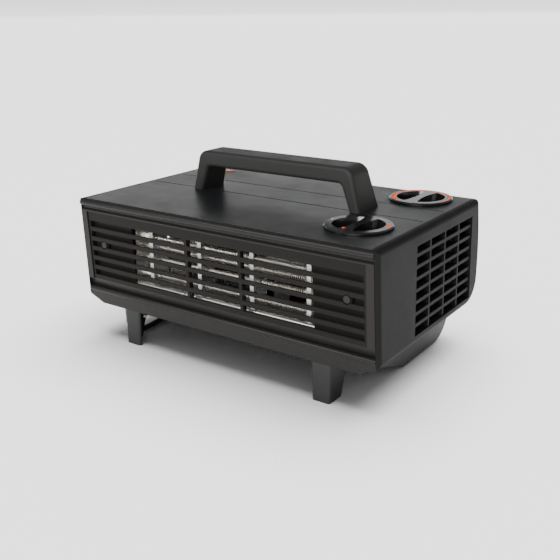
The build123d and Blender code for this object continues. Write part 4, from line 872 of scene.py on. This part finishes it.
@dataclass
class Dials:
    """Both dials with their printed marks, and the indicator.

    Lengths are in millimetres.

    Attributes:
        x: X of both dials.
        depths: Depth of each dial's axis, by body.
        top: Height of the dials' rim.
        ink_lift: How far the print stands above the rim, and reaches into it.
        facet: Most degrees in one flat step of a mark.
        least_steps: Fewest steps in a mark.
        dot_angle: Where the selector's dot stands, in degrees anticlockwise from +X.
        dot_reach: From the selector's axis to its dot.
        dot_radius: Radius of the dot.
        dot_sides: Sides of the dot.
        marks: The printed marks, by body.
        finishes: Each finish with the nodes that take it.
    """

    x: float = 128.0
    depths: dict[str, float] = field(
        default_factory=lambda: {"selector": 60.0, "thermostat_dial": 189.0}
    )
    top: float = 159.0
    ink_lift: float = 0.06
    facet: float = 3.0
    least_steps: int = 4
    dot_angle: float = -103.0
    dot_reach: float = 20.0
    dot_radius: float = 1.7
    dot_sides: int = 24
    marks: dict[str, tuple[Mark, ...]] = field(
        default_factory=lambda: {
            "selector": (
                Mark("selector_dash", 27.2, 3.0, 32.0, 1.5, 2.4),
                Mark("selector_off_dash", 29.0, 174.0, 181.0, 1.6, 1.6, WHITE_INK),
            ),
            "thermostat_dial": (Mark("thermostat_sweep", 28.6, -22.0, 241.0, 1.3, 3.6),),
        }
    )
    finishes: FinishTable = (
        (DIAL_ABS, ("selector_knob", "thermostat_knob")),
        (LENS_PC, ("indicator_lens",)),
        (LAMP_GLASS, ("indicator_lamp",)),
        (PHENOLIC, ("selector_switch",)),
        (CERAMIC, ("thermostat",)),
        (SHAFT_STEEL, ("selector_shaft", "thermostat_spindle")),
    )

    def strip(self, mark: Mark, depth: float) -> bpy.types.Mesh:
        """Makes a curved printed strip on the rim.

        Args:
            mark: The mark to make.
            depth: Depth of the dial's axis.

        Returns:
            The strip's mesh.
        """
        steps = max(self.least_steps, int((mark.end - mark.start) / self.facet))
        # Four points a step: the inner and outer edge below the rim, then the same two above it
        points: list[Vector] = []
        for i in range(steps + 1):
            share = i / steps
            angle = math.radians(mark.start + (mark.end - mark.start) * share)
            half = (mark.width_start + (mark.width_end - mark.width_start) * share) / 2
            for z in (self.top - self.ink_lift, self.top + self.ink_lift):
                for radius in (mark.radius - half, mark.radius + half):
                    across, behind = radius * math.cos(angle), radius * math.sin(angle)
                    points.append(metres(self.x + across, depth + behind, z))
        faces: list[list[int]] = []
        for a in range(0, 4 * steps, 4):
            b = a + 4
            faces.append([a, a + 1, b + 1, b])
            faces.append([a + 2, b + 2, b + 3, a + 3])
            faces.append([a, b, b + 2, a + 2])
            faces.append([a + 1, a + 3, b + 3, b + 1])
        last = 4 * steps
        faces += [[0, 2, 3, 1], [last, last + 1, last + 3, last + 2]]
        return mesh_from(mark.name, points, faces)

    def dot(self) -> bpy.types.Mesh:
        """Makes the pointer dot on the selector's bar.

        Returns:
            The dot's mesh.
        """
        angle = math.radians(self.dot_angle)
        x = self.x + self.dot_reach * math.cos(angle)
        depth = self.depths["selector"] + self.dot_reach * math.sin(angle)
        path = [metres(x, depth, z) for z in (self.top - self.ink_lift, self.top + self.ink_lift)]
        return tube_mesh("selector_dot", path, self.dot_radius * MM, self.dot_sides)

    def build(self) -> None:
        """Dresses the dials and prints their marks."""
        dress(self.finishes)
        for body, marks in self.marks.items():
            for mark in marks:
                piece = add_mesh(self.strip(mark, self.depths[body]), mark.ink, body)
        piece = add_mesh(self.dot(), ORANGE_INK_PAINTED_GLOW, "selector")


@dataclass
class Heating:
    """Duct, supports, the close-wound coils of resistance wire and the outlet's lip.

    Lengths are in millimetres.

    Attributes:
        rows: Depth and height of each row.
        coil_radius: Middle radius of the curls.
        wire: Diameter of the wire.
        wire_sides: Sides of the wire's section.
        coil_half: Half the length of the wound part.
        curls: Curls in each row.
        curl_points: Points in each curl.
        lead_path: Points of a row's straight end at the right, as the run beyond the wound part,
            the way forward from the curls' rear, and the height above the row.
        lead_sides: Sides of its section.
        lip_depth: Depth of the lip's front face.
        lip_heights: Its foot and its top.
        lip_flange: Depth of the fold at its top.
        lip_sheet: Its thickness.
        lip_half: Half its length.
        inside: The finished coils and the lip.
        finishes: Each finish with the nodes that take it.
    """

    rows: tuple[tuple[float, float], ...] = (
        (30.0, 117.0),
        (40.0, 103.7),
        (40.0, 90.3),
        (30.0, 77.0),
    )
    coil_radius: float = 2.9
    wire: float = 0.8
    wire_sides: int = 6
    coil_half: float = 99.0
    curls: int = 92
    curl_points: int = 12
    lead_path: tuple[Point, ...] = (
        (-0.2, 0.0, 0.0),
        (1.2, 0.3, 0.2),
        (3.2, 0.9, 0.0),
        (5.0, 0.9, 0.0),
    )
    lead_sides: int = 10
    lip_depth: float = 15.3
    lip_heights: tuple[float, float] = (66.8, 71.6)
    lip_flange: float = 2.0
    lip_sheet: float = 0.6
    lip_half: float = 111.0
    inside: list[bpy.types.Object] = field(default_factory=list)
    finishes: FinishTable = (
        (BRIGHT_SHEET, ("duct_frame", "air_guide", "air_ramp")),
        (BRIGHT_SHEET, ("left_inlet_ring", "right_inlet_ring")),
        (SUPPORT_SHEET, ("element_supports", "thermal_fuse")),
        (CERAMIC, ("ceramic_terminals", "thermal_cutout")),
        (PHENOLIC, ("terminal_block",)),
    )

    def wire_tree(self) -> bpy.types.NodeTree:
        """Makes the node tree that winds one row of wire along X.

        Returns:
            A Geometry Nodes tree with named inputs for its sizes.
        """
        tree = bpy.data.node_groups.new("wound_wire", "GeometryNodeTree")
        face = tree.interface
        face.new_socket("Geometry", in_out="OUTPUT", socket_type="NodeSocketGeometry")
        face.new_socket("Geometry", in_out="INPUT", socket_type="NodeSocketGeometry")
        for name, value in (
            ("Curls", float(self.curls)),
            ("Curl radius", self.coil_radius * MM),
            ("Length", 2 * self.coil_half * MM),
            ("Wire radius", self.wire / 2 * MM),
        ):
            socket = face.new_socket(name, in_out="INPUT", socket_type="NodeSocketFloat")
            socket.default_value = value
        face.new_socket("Middle", in_out="INPUT", socket_type="NodeSocketVector")
        face.new_socket("Wire", in_out="INPUT", socket_type="NodeSocketMaterial")
        given = add_node(tree, "NodeGroupInput").outputs
        spiral = add_node(
            tree,
            "GeometryNodeCurveSpiral",
            links={
                "Rotations": given["Curls"],
                "Start Radius": given["Curl radius"],
                "End Radius": given["Curl radius"],
                "Height": given["Length"],
            },
            values={"Resolution": self.curl_points},
        )
        # The spiral climbs along Z from the origin, so it is laid down and centred on the row
        laid = add_node(
            tree,
            "GeometryNodeTransform",
            links={"Geometry": spiral.outputs[0]},
            values={"Rotation": (0.0, math.pi / 2, 0.0)},
        )
        half = add_node(
            tree,
            "ShaderNodeMath",
            settings={"operation": "MULTIPLY"},
            links={0: given["Length"]},
            values={1: -0.5},
        )
        shift = add_node(tree, "ShaderNodeCombineXYZ", links={"X": half.outputs[0]})
        place = add_node(
            tree,
            "ShaderNodeVectorMath",
            settings={"operation": "ADD"},
            links={0: shift.outputs[0], 1: given["Middle"]},
        )
        moved = add_node(
            tree,
            "GeometryNodeTransform",
            links={"Geometry": laid.outputs[0], "Translation": place.outputs[0]},
        )
        ring = add_node(
            tree,
            "GeometryNodeCurvePrimitiveCircle",
            links={"Radius": given["Wire radius"]},
            values={"Resolution": self.wire_sides},
        )
        swept = add_node(
            tree,
            "GeometryNodeCurveToMesh",
            links={"Curve": moved.outputs[0], "Profile Curve": ring.outputs[0]},
            values={"Fill Caps": True},
        )
        smooth = add_node(
            tree, "GeometryNodeSetShadeSmooth", links={"Geometry": swept.outputs[0]}
        )
        real = add_node(
            tree, "GeometryNodeRealizeInstances", links={"Geometry": smooth.outputs[0]}
        )
        dressed = add_node(
            tree,
            "GeometryNodeSetMaterial",
            links={"Geometry": real.outputs[0], "Material": given["Wire"]},
        )
        add_node(tree, "NodeGroupOutput", links={0: dressed.outputs[0]})
        return tree

    def wind(self, tree: bpy.types.NodeTree, depth: float, z: float) -> bpy.types.Mesh:
        """Winds one row of wire.

        Args:
            tree: The winding tree.
            depth: Depth of the row.
            z: Height of the row.

        Returns:
            The wound wire as a plain mesh.
        """
        seed = bpy.data.objects.new("winding", bpy.data.meshes.new("winding"))
        bpy.context.scene.collection.objects.link(seed)
        modifier = seed.modifiers.new("Wind", "NODES")
        modifier.node_group = tree
        sockets = tree.interface.items_tree
        inputs = {item.name: item.identifier for item in sockets if item.in_out == "INPUT"}
        modifier[inputs["Middle"]] = tuple(metres(0.0, depth, z))
        modifier[inputs["Wire"]] = PALETTE.get(RESISTANCE_WIRE)
        graph = bpy.context.evaluated_depsgraph_get()
        wound = bpy.data.meshes.new_from_object(seed.evaluated_get(graph))
        bpy.data.objects.remove(seed)
        return wound

    def lead(self, depth: float, z: float, side: int) -> bpy.types.Mesh:
        """Makes the straight end of a row, from its last curl to the ceramic bead.

        Args:
            depth: Depth of the row.
            z: Height of the row.
            side: Minus one for the left end, one for the right.

        Returns:
            The lead's mesh.
        """
        rear = depth + self.coil_radius
        path = [
            metres(side * (self.coil_half + run), rear - inward, z + side * rise)
            for run, inward, rise in self.lead_path
        ]
        return tube_mesh("coil_lead", path, self.wire / 2 * MM, self.lead_sides)

    def coil(
        self, name: str, rows: Sequence[tuple[float, float]], tree: bpy.types.NodeTree
    ) -> bpy.types.Mesh:
        """Winds the rows of one heating stage into one mesh.

        Args:
            name: Name of the mesh.
            rows: Depth and height of each of its rows.
            tree: The winding tree.

        Returns:
            The mesh.
        """
        worked = bmesh.new()
        for depth, z in rows:
            strands = [self.wind(tree, depth, z)]
            strands += [self.lead(depth, z, side) for side in (-1, 1)]
            for strand in strands:
                worked.from_mesh(strand)
                bpy.data.meshes.remove(strand)
        bmesh.ops.recalc_face_normals(worked, faces=worked.faces)
        mesh = bpy.data.meshes.new(name)
        worked.to_mesh(mesh)
        worked.free()
        return mesh

    def lip(self) -> bpy.types.Mesh:
        """Makes the folded lip that stiffens the duct's foot and shines through the lowest slot.

        Returns:
            The lip's mesh.
        """
        low, high = self.lip_heights
        deep, sheet = self.lip_flange, self.lip_sheet
        outline = (
            (0.0, low),
            (0.0, high),
            (deep, high),
            (deep, high - sheet),
            (sheet, high - sheet),
            (sheet, low),
        )
        count = len(outline)
        points = [
            metres(x, self.lip_depth + depth, z)
            for x in (-self.lip_half, self.lip_half)
            for depth, z in outline
        ]
        nexts = [(k + 1) % count for k in range(count)]
        faces = [[k, after, count + after, count + k] for k, after in enumerate(nexts)]
        faces += [list(range(count))[::-1], list(range(count, 2 * count))]
        return mesh_from("outlet_lip", points, faces)

    def bright_pieces(self) -> list[bpy.types.Object]:
        """Lists the pieces of bright metal that show through the outlet.

        Returns:
            The pieces.
        """
        nodes = ("duct_frame", "element_supports", "ceramic_terminals", "air_guide", "air_ramp")
        return [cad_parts[node] for node in nodes] + self.inside

    def build(self) -> None:
        """Dresses the duct, winds the coils and adds the lip."""
        dress(self.finishes)
        tree = self.wire_tree()
        for name, node, rows in (
            ("upper_wound_coils", "upper_heating_coils", self.rows[:2]),
            ("lower_wound_coils", "lower_heating_coils", self.rows[2:]),
        ):
            piece = add_mesh(self.coil(name, rows, tree), RESISTANCE_WIRE, "casing")
            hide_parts(node)
            self.inside.append(piece)
        lip = add_mesh(self.lip(), BRIGHT_SHEET, "casing")
        self.inside.append(lip)


@dataclass
class Blower:
    """Motor, shaft and the two wheels.

    Attributes:
        finishes: Each finish with the nodes that take it.
    """

    finishes: FinishTable = (
        (BRIGHT_SHEET, ("left_blower_wheel", "right_blower_wheel")),
        (SHAFT_STEEL, ("rotor_shaft",)),
        (LAMINATION, ("rotor_core", "motor_stator")),
        (COPPER, ("motor_winding",)),
        (SUPPORT_SHEET, ("left_bearing_bridge", "right_bearing_bridge", "motor_stand")),
        (BRONZE, ("left_bearing", "right_bearing")),
        (ZINC_STEEL, ("motor_studs",)),
    )

    def build(self) -> None:
        """Dresses each node."""
        dress(self.finishes)


def main() -> None:
    """Builds every sub-assembly in order."""
    logging.basicConfig(level=logging.INFO, format="%(name)s: %(message)s")
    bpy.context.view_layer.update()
    studio = Studio()
    heating = Heating()
    for part in (studio, MainsLead(), Casing(), Dials(), heating, Blower()):
        part.build()
        LOG.info("built %s", type(part).__name__)
    for piece in heating.bright_pieces():
        studio.bright_metal.objects.link(piece)


if __name__ == "__main__":
    main()
